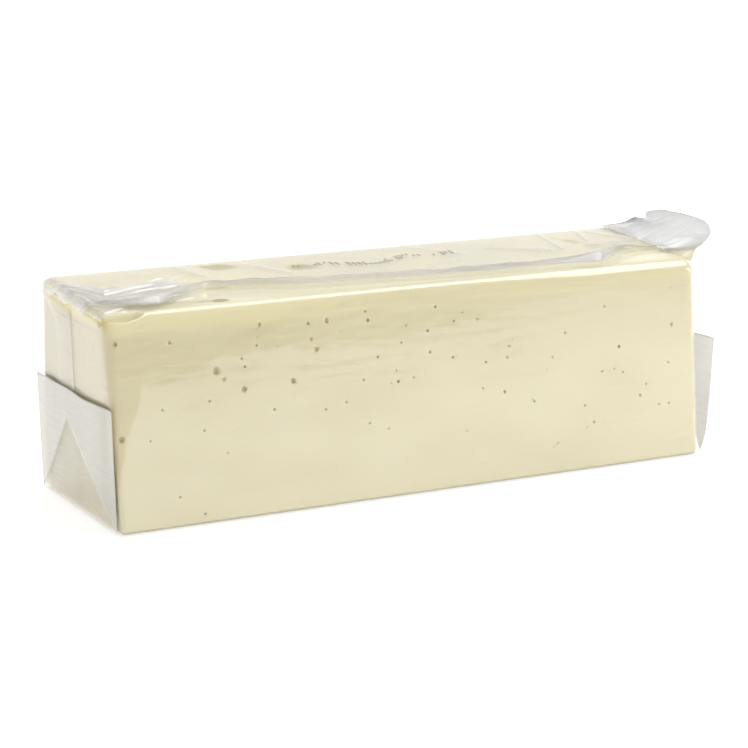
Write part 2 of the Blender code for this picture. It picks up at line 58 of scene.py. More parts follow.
Line = Sequence[tuple[float, float]]
Grid = list[list[Vector]]
Colour = tuple[float, float, float]

QUARTER_TURN = math.pi / 2
ROOT = "root"
HAZE = "haze"
TONE = "tone"
HOLE = "hole_size"


class Slot(Enum):
    """The record's material slots."""

    CHEESE = "cheese"
    FILM_LAID = "film_laid"
    FILM_FREE = "film_free"


# ------------------------------------------------------------------- numbers


def smooth_step(value: float, low: float, high: float) -> float:
    """Blend from 0 at low to 1 at high, level at both.

    Args:
        value: Number to place between the limits.
        low: Limit at which the blend is 0.
        high: Limit at which the blend is 1.

    Returns:
        The blend, from 0 to 1.
    """
    share = min(max((value - low) / (high - low), 0.0), 1.0)
    return share * share * (3 - 2 * share)


def read_line(line: Line, x: float) -> float:
    """Read a smooth curve through a line's points.

    Args:
        line: Points (x, value) in rising order of x.
        x: Place at which the curve is read.

    Returns:
        The curve's value, level beyond the first and last points.
    """
    if x <= line[0][0]:
        return line[0][1]
    for index in range(len(line) - 1):
        (x0, y0), (x1, y1) = line[index], line[index + 1]
        if x <= x1:
            span = x1 - x0
            t = (x - x0) / span
            rest = 1 - t
            leaving = line_slope(line, index) * span
            arriving = line_slope(line, index + 1) * span
            start = y0 * (1 + 2 * t) * rest * rest + leaving * t * rest * rest
            end = y1 * t * t * (3 - 2 * t) - arriving * t * t * rest
            return start + end
    return line[-1][1]


def line_slope(line: Line, index: int) -> float:
    """Slope of a line's curve at one of its points.

    Args:
        line: Points (x, value) in rising order of x.
        index: Which point.

    Returns:
        The slope between the points beside it.
    """
    x0, y0 = line[max(index - 1, 0)]
    x1, y1 = line[min(index + 1, len(line) - 1)]
    return (y1 - y0) / (x1 - x0)


def ripple(*coordinates: float) -> float:
    """Soft noise from -1 to 1 at three coordinates."""
    return noise.noise(Vector(coordinates))


def ridged(*coordinates: float) -> float:
    """Noise from 0 to 1 with sharp crests, at three coordinates."""
    return 1 - min(abs(noise.noise(Vector(coordinates))) * 2.2, 1.0)


# --------------------------------------------------------------- the loaf form


@dataclass(frozen=True)
class Column:
    """A place along the loaf.

    side is -1 at the left end, +1 at the right end and 0 between them. share
    is the fraction of the straight part, from -1 to 1, turn is the angle
    round an end's edge and onward is the fraction of the way across the end.
    """

    side: int
    share: float = 0.0
    turn: float = 0.0
    onward: float = 0.0


@dataclass(frozen=True)
class LoafForm:
    """Outside of the wrapped loaf: a leaning, round-cornered section between two ends."""

    length: float = 0.280
    width: float = 0.0904
    front_height: float = 0.0888
    back_height: float = 0.0945
    front_lean: float = 0.0095
    back_lean: float = 0.0085
    end_flare: float = 0.0026
    crown: float = 0.0006
    base_radius: float = 0.0026
    front_top_radius: float = 0.0078
    back_top_radius: float = 0.0052
    end_radius_low: float = 0.0025
    end_radius_high: float = 0.0050
    dent_depth: float = 0.0022
    dent_along: tuple[float, float] = (0.1205, 0.1260)
    dent_across: tuple[float, float] = (0.0288, 0.0335)
    # Edge of the clinging film on the front, which is also the edge of the painted dim reflection
    # above it.
    cling_line: Line = (
        (-0.1400, 0.0180), (-0.1371, 0.0291), (-0.1307, 0.0465), (-0.1265, 0.0585),
        (-0.1034, 0.0600), (-0.0915, 0.0665), (-0.0500, 0.0668), (-0.0092, 0.0666),
        (0.0221, 0.0712), (0.0582, 0.0761), (0.1112, 0.0779), (0.1380, 0.0774),
    )
    dent_rim: Line = (
        (-0.1430, 0.0878), (-0.1378, 0.0872), (-0.1349, 0.0866), (-0.1306, 0.0868),
        (-0.1270, 0.0876), (-0.1241, 0.0888), (-0.1200, 0.0904),
    )

    SIDES = {
        "front": ("front_base", "front_top"),
        "top": ("front_top", "back_top"),
        "back": ("back_top", "back_base"),
        "base": ("back_base", "front_base"),
    }

    @cached_property
    def arcs(self) -> dict[str, tuple[float, float, float, float, float]]:
        """Round corners of the section.

        Returns:
            Centre y and z, radius, first angle and sweep of each corner, by its name.
        """
        half = self.width / 2
        corners = {
            "front_base": (-half, 0.0, self.base_radius),
            "front_top": (-half + self.front_lean, self.front_height, self.front_top_radius),
            "back_top": (half - self.back_lean, self.back_height, self.back_top_radius),
            "back_base": (half, 0.0, self.base_radius),
        }
        order = tuple(corners)
        found = {}
        for index, name in enumerate(order):
            y, z, radius = corners[name]
            corner = Vector((y, z))
            before = (Vector(corners[order[index - 1]][:2]) - corner).normalized()
            after = (Vector(corners[order[(index + 1) % 4]][:2]) - corner).normalized()
            opening = math.acos(before.dot(after))
            centre = corner + (before + after).normalized() * (radius / math.sin(opening / 2))
            first = math.atan2(-before.x, before.y)
            found[name] = (centre.x, centre.y, radius, first, math.pi - opening)
        return found

    def arc_point(self, name: str, fraction: float) -> tuple[float, float, float, float]:
        """Find a point on a round corner.

        Args:
            name: The corner.
            fraction: Share of the way round it.

        Returns:
            The point's y and z, then its outward normal's.
        """
        y, z, radius, first, sweep = self.arcs[name]
        angle = first - sweep * fraction
        ny, nz = math.cos(angle), math.sin(angle)
        return y + radius * ny, z + radius * nz, ny, nz

    def section_point(self, region: str, fraction: float) -> tuple[float, float, float, float]:
        """Find a named place round the section.

        Args:
            region: A round corner or a side between two of them.
            fraction: Share of the way along it.

        Returns:
            The point's y and z, then its outward normal's.
        """
        if region not in self.SIDES:
            return self.arc_point(region, fraction)
        start, end = self.SIDES[region]
        y0, z0, ny, nz = self.arc_point(start, 1.0)
        y1, z1, _, _ = self.arc_point(end, 0.0)
        y = y0 + (y1 - y0) * fraction
        z = z0 + (z1 - z0) * fraction
        if region == "top":
            z += self.crown * 4 * fraction * (1 - fraction)
        return y, z, ny, nz

    def top_fraction(self, y: float) -> float:
        """Find a place on the top's straight part.

        Args:
            y: Place across the loaf.

        Returns:
            Share of the way along the straight part, from its front.
        """
        y0 = self.section_point("top", 0.0)[0]
        y1 = self.section_point("top", 1.0)[0]
        return (y - y0) / (y1 - y0)

    def top_height(self, y: float) -> float:
        """Height of the top at a place across the loaf."""
        return self.section_point("top", self.top_fraction(y))[1]

    def end_radius(self, z: float) -> float:
        """Radius of the upright end edges at a height."""
        rise = self.end_radius_high - self.end_radius_low
        return self.end_radius_low + rise * z / self.back_height

    def end_reach(self, z: float) -> float:
        """Distance from the loaf's middle to its end face at a height."""
        return self.length / 2 + self.end_flare * z / self.back_height

    def dent(self, x: float, y: float, z: float) -> float:
        """How far the top's front edge is pressed in near the left end.

        Args:
            x: Place along the loaf.
            y: Place across it.
            z: Height above the base.

        Returns:
            The dent's depth there.
        """
        rim = read_line(self.dent_rim, x)
        along = smooth_step(-x, *self.dent_along)
        up = smooth_step(z, rim - 0.0012, rim + 0.0012)
        return self.dent_depth * along * up * smooth_step(-y, *self.dent_across)

    def film_gap_and_painted_light(self, x: float, z: float) -> float:
        """Whether the film clings to the front, 0, or stands off it, 1, as a broad ramp that also
        paints light: dim where it clings, for its darker reflection, and rising towards the right end
        as painted light.
        """
        line = read_line(self.cling_line, x)
        return smooth_step(line - z, -0.0110, 0.0090) * (1 + 0.25 * smooth_step(x, 0.0, 0.16))

    def place(
        self, region: str, fraction: float, column: Column, offset: float, dented: float = 1.0
    ) -> Vector:
        """Find a point of the form, moved out from it.

        Args:
            region: Place round the section: a corner or a side.
            fraction: Share of the way along that corner or side.
            column: Place along the loaf.
            offset: How far outside the form the point lies.
            dented: Share of the corner's dent that the point follows.

        Returns:
            The point.
        """
        y, z, ny, nz = self.section_point(region, fraction)
        radius = self.end_radius(z)
        straight = self.end_reach(z) - radius
        if column.side == 0:
            x = column.share * straight
            out = offset
        else:
            x = column.side * (straight + (radius + offset) * math.sin(column.turn))
            out = (radius + offset) * math.cos(column.turn) - radius
        out -= self.dent(x, y, z) * dented
        return Vector((x, y + ny * out, z + nz * out))

    def edge_columns(self, side: int, steps: int) -> list[Column]:
        """Columns round one end's edge, from the straight part outwards."""
        return [Column(side, turn=QUARTER_TURN * step / steps) for step in range(1, steps + 1)]

    def straight_columns(self, steps: int, crowding: float = 0.55) -> list[Column]:
        """Columns of the straight part, closer together towards its ends.

        Args:
            steps: Number of gaps between them.
            crowding: How much closer they are at the ends, 0 for even columns.

        Returns:
            The columns, from left to right.
        """
        columns = []
        for step in range(steps + 1):
            even = 2 * step / steps - 1
            crowded = math.sin(even * QUARTER_TURN)
            columns.append(Column(0, share=even + (crowded - even) * crowding))
        return columns


# --------------------------------------------------------------- shader maths


class Value:
    """A number socket of a shader tree, for expressions written in Python."""

    def __init__(self, tree: ShaderTree, socket: bpy.types.NodeSocket) -> None:
        """Wrap an output socket.

        Args:
            tree: Shader tree that the socket belongs to.
            socket: Output socket of one of its nodes.
        """
        self.tree = tree
        self.socket = socket

    def math(self, operation: str, *others: Value | float, swap: bool = False) -> Value:
        """Add a Math node.

        Args:
            operation: The node's operation.
            others: Its other inputs.
            swap: Whether this value comes after the first of the others.

        Returns:
            The node's result.
        """
        inputs = [others[0], self, *others[1:]] if swap else [self, *others]
        node = self.tree.node(
            "ShaderNodeMath", {"operation": operation}, dict(enumerate(inputs))
        )
        return Value(self.tree, node.outputs[0])

    def __add__(self, other: Value | float) -> Value:
        """Sum."""
        return self.math("ADD", other)

    __radd__ = __add__

    def __sub__(self, other: Value | float) -> Value:
        """Difference."""
        return self.math("SUBTRACT", other)

    def __rsub__(self, other: Value | float) -> Value:
        """Difference from a number on the left."""
        return self.math("SUBTRACT", other, swap=True)

    def __mul__(self, other: Value | float) -> Value:
        """Product."""
        return self.math("MULTIPLY", other)

    __rmul__ = __mul__

    def __pow__(self, other: Value | float) -> Value:
        """Power."""
        return self.math("POWER", other)

    def clamped(self) -> Value:
        """This value held between 0 and 1."""
        return self.math("MINIMUM", 1.0).math("MAXIMUM", 0.0)

    def step(self, low: float, high: float) -> Value:
        """Blend smoothly over this value.

        Args:
            low: Value at which the blend is 0.
            high: Value at which the blend is 1.

        Returns:
            The blend, from 0 to 1.
        """
        node = self.tree.node(
            "ShaderNodeMapRange",
            {"interpolation_type": "SMOOTHSTEP"},
            {"Value": self, "From Min": low, "From Max": high},
        )
        return Value(self.tree, node.outputs[0])


class NodeTree:
    """A node tree that is made one node at a time."""

    def __init__(self, tree: bpy.types.NodeTree) -> None:
        """Take a tree over."""
        self.tree = tree

    def node(
        self,
        kind: str,
        settings: dict[str, Any] | None = None,
        inputs: dict[str | int, Any] | None = None,
    ) -> bpy.types.Node:
        """Add a node, set it and feed its sockets.

        Args:
            kind: The node's type.
            settings: Properties of the node itself, set first.
            inputs: Value or link of each input socket, by name or number.

        Returns:
            The node.
        """
        made = self.tree.nodes.new(kind)
        for key, value in (settings or {}).items():
            setattr(made, key, value)
        for key, value in (inputs or {}).items():
            if isinstance(value, Value):
                value = value.socket
            if isinstance(value, bpy.types.NodeSocket):
                self.tree.links.new(value, made.inputs[key])
            else:
                made.inputs[key].default_value = value
        return made


class ShaderTree(NodeTree):
    """The nodes of a material or a world."""

    def __init__(self, owner: bpy.types.Material | bpy.types.World) -> None:
        """Empty the tree of a material or a world.

        Args:
            owner: The material or world.
        """
        self.owner = owner
        owner.use_nodes = True
        super().__init__(owner.node_tree)
        self.tree.nodes.clear()

    def attribute(self, name: str) -> Value:
        """Read a number kept on the mesh."""
        made = self.node("ShaderNodeAttribute", {"attribute_name": name})
        return Value(self, made.outputs["Fac"])

    def coordinates(self) -> bpy.types.NodeSocket:
        """Object coordinates."""
        return self.node("ShaderNodeTexCoord").outputs["Object"]

    def axis(self, name: str) -> Value:
        """One of the object coordinates, X, Y or Z."""
        split = self.node("ShaderNodeSeparateXYZ", None, {0: self.coordinates()})
        return Value(self, split.outputs[name])

    def cloud(
        self,
        size: tuple[float, float, float],
        detail: float = 3.0,
        turned: tuple[float, float, float] = (0.0, 0.0, 0.0),
        warp: float = 0.0,
    ) -> Value:
        """Noise in object coordinates.

        Args:
            size: Length of one blotch along each axis.
            detail: Number of finer layers.
            turned: Turn of the pattern about each axis.
            warp: How far the pattern is bent by itself.

        Returns:
            The noise, from 0 to 1 around one half.
        """
        scale = tuple(1 / length for length in size)
        mapping = self.node(
            "ShaderNodeMapping", None,
            {"Vector": self.coordinates(), "Rotation": turned, "Scale": scale},
        )
        made = self.node(
            "ShaderNodeTexNoise", None,
            {"Vector": mapping.outputs[0], "Scale": 1.0, "Detail": detail, "Distortion": warp},
        )
        return Value(self, made.outputs[0])

    def mix(self, factor: Value | float, first: Any, second: Any) -> bpy.types.NodeSocket:
        """Mix two colours.

        Args:
            factor: Share of the second.
            first: Colour or colour socket at 0.
            second: Colour or colour socket at 1.

        Returns:
            The mixed colour's socket.
        """
        ready = [(*c, 1.0) if isinstance(c, tuple) else c for c in (first, second)]
        made = self.node(
            "ShaderNodeMix", {"data_type": "RGBA"}, {0: factor, 6: ready[0], 7: ready[1]}
        )
        return made.outputs[2]

    def principled(
        self, colour: bpy.types.NodeSocket | tuple[float, ...], roughness: float, **others: Any
    ) -> bpy.types.Node:
        """Add the main shader.

        Args:
            colour: Its base colour, as a socket or as four numbers.
            roughness: Its roughness.
            others: Its other inputs, with an underscore for each space.

        Returns:
            The node.
        """
        inputs = {"Base Color": colour, "Roughness": roughness}
        inputs.update((name.replace("_", " "), value) for name, value in others.items())
        return self.node("ShaderNodeBsdfPrincipled", None, inputs)

    def bump(self, height: Value, strength: float, distance: float) -> bpy.types.NodeSocket:
        """Normal of a fine relief.

        Args:
            height: The relief.
            strength: Share of it that shows.
            distance: Depth of the full relief.

        Returns:
            The normal's socket.
        """
        made = self.node(
            "ShaderNodeBump", None, {"Strength": strength, "Distance": distance, "Height": height}
        )
        return made.outputs[0]

    def finish(self, shader: bpy.types.Node) -> bpy.types.Material:
        """Connect the last shader to the output and hand over the material."""
        self.node("ShaderNodeOutputMaterial", None, {"Surface": shader.outputs[0]})
        return self.owner


def new_tree(name: str) -> ShaderTree:
    """Start the nodes of a new material."""
    return ShaderTree(bpy.data.materials.new(name))


def ragged_border(tree: ShaderTree, ramp: Value) -> Value:
    """Break a broad ramp up into flat, ragged patches that lie level along the loaf.

    Args:
        tree: The material's tree.
        ramp: The broad ramp, from 0 to 1.

    Returns:
        The broken-up ramp, from 0 to 1.
    """
    patches = tree.cloud((0.011, 0.011, 0.0019), 3.0, (0.0, 0.045, 0.0), warp=0.5)
    return (ramp + (patches - 0.5) * 1.1).step(0.34, 0.62)


# ------------------------------------------------------------------- finishes


@dataclass(frozen=True)
class CheeseFinish:
    """Dense white process cheese: soft, faintly mottled and damp where the film clings, with painted
    light and shade in its colour: dimmer where the film clings, lighter towards the right end, a
    lighter top with a painted glow under the front edge's highlight, darker ends and base, and
    yellower where the light is cut off under the skirt.
    """

    # The cheese where the film clings: damp and drawn dimmer, as a painted reflection of the darker
    # room; the next colour, lighter, is where the film stands off.
    wet_with_dim_reflection: Colour = (0.640, 0.565, 0.325)
    free: Colour = (0.740, 0.680, 0.445)
    deep: Colour = (0.600, 0.525, 0.280)
    # Painted light: a lighter copy of the cheese for the top, which also fades down the upper front as
    # a painted glow under the edge's highlight; the next two are lighter copies again, for the top's
    # left part and for the strip in front of the lap.
    crown: Colour = (0.790, 0.718, 0.430)
    top_left_painted_light: Colour = (0.900, 0.815, 0.480)
    front_strip_painted_light: Colour = (0.930, 0.880, 0.620)
    # Painted shade: a darker copy of the cheese for the end faces.
    end: Colour = (0.640, 0.560, 0.370)
    # Painted shade: a deep, saturated yellow along the top of each end face, under the film's skirt.
    skirt_shade_yellow: Colour = (0.800, 0.690, 0.200)
    damp: Colour = (0.430, 0.375, 0.160)
    # Painted shade: a dark colour along the very base of the cheese.
    foot: Colour = (0.300, 0.275, 0.200)
    damp_patches: tuple[tuple[float, float, float, float, float], ...] = (
        (-0.0655, 0.0225, 0.0085, 0.0068, 0.80),
        (-0.0720, 0.0265, 0.0024, 0.0020, 1.00),
        (-0.0325, 0.0108, 0.0078, 0.0062, 0.80),
        (-0.0335, 0.0112, 0.0052, 0.0010, 1.00),
        (-0.0810, -0.0090, 0.0060, 0.0022, 0.45),
        (-0.0872, -0.0261, 0.0046, 0.0026, 1.00),
        (-0.0930, -0.0255, 0.0060, 0.0016, 0.60),
        (0.1045, 0.0115, 0.0036, 0.0060, 0.50),
    )

    def patches(self, tree: ShaderTree) -> Value:
        """Mask of the damp patches, where the film clings to the top.

        Args:
            tree: The material's tree.

        Returns:
            The mask, from 0 to 1.
        """
        x, y, z = (tree.axis(name) for name in "XYZ")
        ragged = (tree.cloud((0.006, 0.006, 0.006), 3.0) - 0.5) * 0.9
        total: Value | None = None
        for px, py, rx, ry, strength in self.damp_patches:
            gap = ((x - px) * (1 / rx)) ** 2 + ((y - py) * (1 / ry)) ** 2
            spot = (1 - (gap + ragged).step(0.25, 1.25)) * strength
            total = spot if total is None else total.math("MAXIMUM", spot)
        return total * z.step(0.080, 0.086)

    def material(self) -> bpy.types.Material:
        """Build the cheese's material.

        Returns:
            The material.
        """
        tree = new_tree("white_cheese")
        mottle = tree.cloud((0.055, 0.040, 0.022), 4.0)
        swells = tree.cloud((0.026, 0.018, 0.012), 1.0)
        # The tone gives the damp, dim painted reflection where the film clings; the ramp along X is
        # painted light, lighter towards the right end.
        free = ragged_border(tree, tree.attribute(TONE))
        free = free.math("MAXIMUM", tree.axis("X").step(-0.16, 0.12) * 0.75)
        colour = tree.mix(free, self.wet_with_dim_reflection, self.free)
        colour = tree.mix(mottle.step(0.35, 0.75) * 0.35, colour, self.deep)
        # Painted light: the top is drawn lighter, more so at its left and on the strip in front of the
        # lap.
        crown = tree.mix(tree.axis("X").step(-0.09, 0.0), self.top_left_painted_light, self.crown)
        before_lap = 1 - tree.axis("Y").step(-0.0180, -0.0060)
        crown = tree.mix(before_lap * tree.axis("Y").step(-0.0330, -0.0250), crown, self.front_strip_painted_light)
        # Painted light: the lighter top colour fades down the upper front as a glow under the
        # highlight.
        colour = tree.mix(tree.axis("Z").step(0.0765, 0.0874), colour, crown)
        along = tree.axis("X").math("ABSOLUTE")
        # Painted shade: the end faces are drawn darker, a little less where the tone is light.
        colour = tree.mix(along.step(0.1395, 0.1412) * (1 - free * 0.3), colour, self.end)
        # Painted shade: a yellow band along the top of each end face, where the skirt shades it.
        skirt_shade_mask = along.step(0.1385, 0.1412) * tree.axis("Z").step(0.0825, 0.0870)
        colour = tree.mix(skirt_shade_mask * 0.9, colour, self.skirt_shade_yellow)
        patches = self.patches(tree)
        colour = tree.mix(patches, colour, self.damp)
        # Painted shade along the base; the coat is taken off there too.
        foot = 1 - tree.axis("Z").step(0.0010, 0.0026)
        colour = tree.mix(foot, colour, self.foot)
        principled = tree.principled(
            colour,
            0.50,
            Specular_IOR_Level=0.30,
            Subsurface_Weight=0.12,
            Subsurface_Radius=(0.012, 0.008, 0.004),
            Subsurface_Scale=0.5,
            Coat_Weight=(1 - foot) * (1 - patches * 0.8),
            Coat_Roughness=0.06,
            Coat_IOR=1.65,
            Normal=tree.bump(swells, 0.30, 0.0004),
        )
        return tree.finish(principled)


@dataclass(frozen=True)
class PitFinish:
    """Inside of a pinhole: ochre and damp, drawn darker as painted shade of the hollow, in small
    blotches.
    """

    rim: Colour = (0.560, 0.440, 0.160)
    # Painted shade: the darker ochre of the hollow.
    floor: Colour = (0.340, 0.260, 0.080)

    def material(self) -> bpy.types.Material:
        """Build the pits' material.

        Returns:
            The material.
        """
        tree = new_tree("pit_ochre_and_shade")
        shade = tree.cloud((0.0008, 0.0008, 0.0008), 2.0)
        return tree.finish(tree.principled(tree.mix(shade, self.rim, self.floor), 0.3))


@dataclass(frozen=True)
class PinholeFinish:
    """A tiny hole's mark: ochre brown, drawn dark as painted shade of the hole, fainter where its tone
    is low.
    """

    faint: Colour = (0.400, 0.330, 0.150)
    # Painted shade: the dark brown of the deepest holes.
    strong: Colour = (0.150, 0.110, 0.040)

    def material(self) -> bpy.types.Material:
        """Build the small pinholes' material.

        Returns:
            The material.
        """
        tree = new_tree("pinhole_ochre_and_shade")
        tone = tree.attribute(TONE)
        fleck = tree.cloud((0.0006, 0.0006, 0.0006), 1.0)
        colour = tree.mix((tone + (fleck - 0.5) * 0.3).clamped(), self.faint, self.strong)
        return tree.finish(tree.principled(colour, 0.5))


@dataclass(frozen=True)
class FilmFinish:
    """Clear food film: the haze kept on the mesh sets how much of it is seen.

    Little haze is clear film, about half is film that stands milky over the
    cheese, and full haze is film folded into layers, drawn grey as painted
    shade of the folds.
    """

    name: str
    clear: Colour
    milky: Colour
    # Painted shade: the grey that folded film is drawn in.
    folded: Colour
    least: float
    most: float
    gloss: float = 0.09
    mirror: float = 3.0
    streak: tuple[float, float, float] = (0.020, 0.012, 0.0016)
    relief: float = 0.25

    def seen(self, tree: ShaderTree) -> Value:
        """How much of the film is seen, from 0 to 1.

        Args:
            tree: The material's tree.

        Returns:
            The mesh's haze, broken up by fine streaks.
        """
        streaks = tree.cloud(self.streak, 3.0, warp=0.6)
        return (tree.attribute(HAZE) * (0.80 + streaks * 0.40)).clamped()

    def material(self) -> bpy.types.Material:
        """Build the film's material.

        Returns:
            The material.
        """
        tree = new_tree(self.name)
        seen = self.seen(tree)
        alpha = (seen * (self.most - self.least) + self.least).clamped()
        fine = tree.cloud(self.streak, 2.0, warp=0.4)
        wave = tree.cloud((0.030, 0.020, 0.006), 2.0, warp=0.4)
        colour = tree.mix(seen.step(0.10, 0.50), self.clear, self.milky)
        # Painted shade: dense, folded film turns grey.
        colour = tree.mix(seen.step(0.50, 0.95), colour, self.folded)
        principled = tree.principled(
            colour,
            0.35,
            Coat_Weight=1.0,
            Coat_Roughness=self.gloss,
            Coat_IOR=self.mirror,
            Normal=tree.bump(fine * 0.35 + wave, self.relief, 0.0006),
        )
        bare = tree.node("ShaderNodeBsdfTransparent")
        mixed = tree.node(
            "ShaderNodeMixShader", None, {0: alpha, 1: bare.outputs[0], 2: principled.outputs[0]}
        )
        return tree.finish(mixed)


@dataclass(frozen=True)
class ClingingFilmFinish(FilmFinish):
    """Film on the front: haze 0 is where it clings, 1 is where it stands off the cheese; that ramp
    also carries painted light, and whiter ripples paint streaks of its reflection.
    """

    def seen(self, tree: ShaderTree) -> Value:
        """How much of the film is seen, from 0 to 1.

        Args:
            tree: The material's tree.

        Returns:
            The film's broken-up border, with faint whiter ripples over it all as painted streaks of
            reflection.
        """
        haze = tree.attribute(HAZE)
        ripples = tree.cloud((0.016, 0.016, 0.0024), 2.0, (0.0, 0.045, 0.0), warp=0.3)
        # Painted reflection: the ripples whiten the film in streaks.
        return (ragged_border(tree, haze) * 0.06 + ripples.step(0.50, 0.80) * 0.10).clamped()


@dataclass(frozen=True)
class InkFinish:
    """Grey-brown stamping ink."""

    colour: Colour = (0.080, 0.065, 0.042)

    def material(self) -> bpy.types.Material:
        """Build the ink's material.

        Returns:
            The material.
        """
        tree = new_tree("stamping_ink")
        worn = tree.cloud((0.0010, 0.0010, 0.0010), 2.0)
        paler = tuple(min(1.0, part * 2.2) for part in self.colour)
        return tree.finish(tree.principled(tree.mix(worn, self.colour, paler), 0.5))


@dataclass(frozen=True)
class FloorFinish:
    """Plain white studio floor."""

    colour: Colour = (0.93, 0.93, 0.93)
    glow: float = 0.55

    def material(self) -> bpy.types.Material:
        """Build the floor's material.

        Returns:
            The material.
        """
        tree = new_tree("studio_white")
        principled = tree.principled(
            (*self.colour, 1.0),
            0.9,
            Specular_IOR_Level=0.1,
            Emission_Color=(1.0, 1.0, 1.0, 1.0),
            Emission_Strength=self.glow,
        )
        material = tree.finish(principled)
        material.cycles.emission_sampling = "NONE"
        return material


LAID_FILM = FilmFinish(
    "film_laid", (0.95, 0.92, 0.82), (0.90, 0.88, 0.88), (0.63, 0.62, 0.65), 0.05, 0.86
)
GATHERED_FILM = FilmFinish(
    "film_gathered", (0.95, 0.92, 0.82), (0.90, 0.89, 0.88), (0.62, 0.60, 0.61), 0.05, 0.84,
    gloss=0.20, mirror=2.0, relief=0.15,
)
FRONT_FILM = ClingingFilmFinish(
    "film_front", (0.96, 0.92, 0.76), (0.96, 0.93, 0.80), (0.90, 0.88, 0.80), 0.06, 0.60
)
LEFT_FLAP_FILM = FilmFinish(
    "film_left_flap", (0.90, 0.83, 0.64), (0.84, 0.78, 0.60), (0.68, 0.645, 0.56), 0.06, 0.88,
    gloss=0.14, mirror=1.8,
)
# Painted shade: a darker grey copy of the film for the right flap.
RIGHT_FLAP_FILM = FilmFinish(
    "film_right_flap", (0.63, 0.62, 0.60), (0.59, 0.58, 0.56), (0.51, 0.50, 0.49), 0.15, 0.95,
    gloss=0.20, mirror=1.6, relief=0.10,
)
# Painted shade: a darker grey copy of the film for the loose tail; its clear colour stays cream for
# the corner over the loaf.
TAIL_FILM = FilmFinish(
    "film_tail", (0.88, 0.82, 0.64), (0.57, 0.57, 0.56), (0.40, 0.40, 0.43), 0.15, 0.95,
    gloss=0.20, mirror=1.6, relief=0.12,
)
CORNER_FILM = FilmFinish(
    "film_corner", (0.84, 0.77, 0.42), (0.84, 0.77, 0.42), (0.84, 0.77, 0.42), 0.0, 0.54,
    gloss=0.20, mirror=1.6, relief=0.12,
)


# -------------------------------------------------------------- mesh building


def new_piece(name: str, mesh: bpy.types.Mesh) -> bpy.types.Object:
    """Put a mesh into the scene as an object at the origin.

    Args:
        name: The object's name.
        mesh: Its mesh.

    Returns:
        The object.
    """
    piece = bpy.data.objects.new(name, mesh)
    bpy.context.scene.collection.objects.link(piece)
    return piece


def settled(piece: bpy.types.Object) -> bpy.types.Object:
    """Turn an object's modifiers into plain mesh.

    Args:
        piece: Object with live modifiers.

    Returns:
        The same object, with the evaluated mesh and no modifiers.
    """
    bpy.context.view_layer.update()
    graph = bpy.context.evaluated_depsgraph_get()
    mesh = bpy.data.meshes.new_from_object(piece.evaluated_get(graph), depsgraph=graph)
    piece.modifiers.clear()
    piece.data = mesh
    mesh.name = piece.name
    return piece


def dress(piece: bpy.types.Object, slot: Slot, *replaced: str) -> bpy.types.Object:
    """Tie a finished piece to the loaf.

    Args:
        piece: The finished object.
        slot: Material slot of the record for the piece; not used.
        replaced: CAD nodes that it stands for.

    Returns:
        The same object.
    """
    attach(piece, ROOT)
    if replaced:
        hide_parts(*replaced)
    triangles = sum(len(face.vertices) - 2 for face in piece.data.polygons)
    log.info("%s: %d triangles", piece.name, triangles)
    return piece


@dataclass
class Sheet:
    """A grid of film points, each with its haze, that becomes a thin closed sheet.

    Rows run up the film and columns along it, so that along x up points out.
    """

    name: str
    thickness: float = 0.00010
    points: Grid = field(default_factory=list)
    haze: list[list[float]] = field(default_factory=list)
    kept: Callable[[int, int], bool] | None = None

    def add_row(self, points: list[Vector], haze: list[float]) -> None:
        """Add the next row of points and of their haze."""
        self.points.append(points)
        self.haze.append(haze)

    def build(self, material: bpy.types.Material) -> bpy.types.Object:
        """Make the sheet's object.

        Args:
            material: The film's material.

        Returns:
            The finished object, with its thickness in its mesh.
        """
        width = len(self.points[0])
        places = [place for row in self.points for place in row]
        faces = [
            (i * width + j, i * width + j + 1, (i + 1) * width + j + 1, (i + 1) * width + j)
            for i in range(len(self.points) - 1)
            for j in range(width - 1)
            if self.kept is None or self.kept(i, j)
        ]
        mesh = bpy.data.meshes.new(self.name)
        mesh.from_pydata(places, [], faces)
        layer = mesh.attributes.new(HAZE, "FLOAT", "POINT")
        layer.data.foreach_set("value", [value for row in self.haze for value in row])
        cleaned = bmesh.new()
        cleaned.from_mesh(mesh)
        loose = [vertex for vertex in cleaned.verts if not vertex.link_faces]
        bmesh.ops.delete(cleaned, geom=loose, context="VERTS")
        cleaned.to_mesh(mesh)
        cleaned.free()
        mesh.shade_smooth()
        mesh.materials.append(material)
        piece = new_piece(self.name, mesh)
        wall = piece.modifiers.new("thickness", "SOLIDIFY")
        wall.thickness = self.thickness
        wall.offset = -1.0
        return settled(piece)


# ------------------------------------------------------------------ the cheese


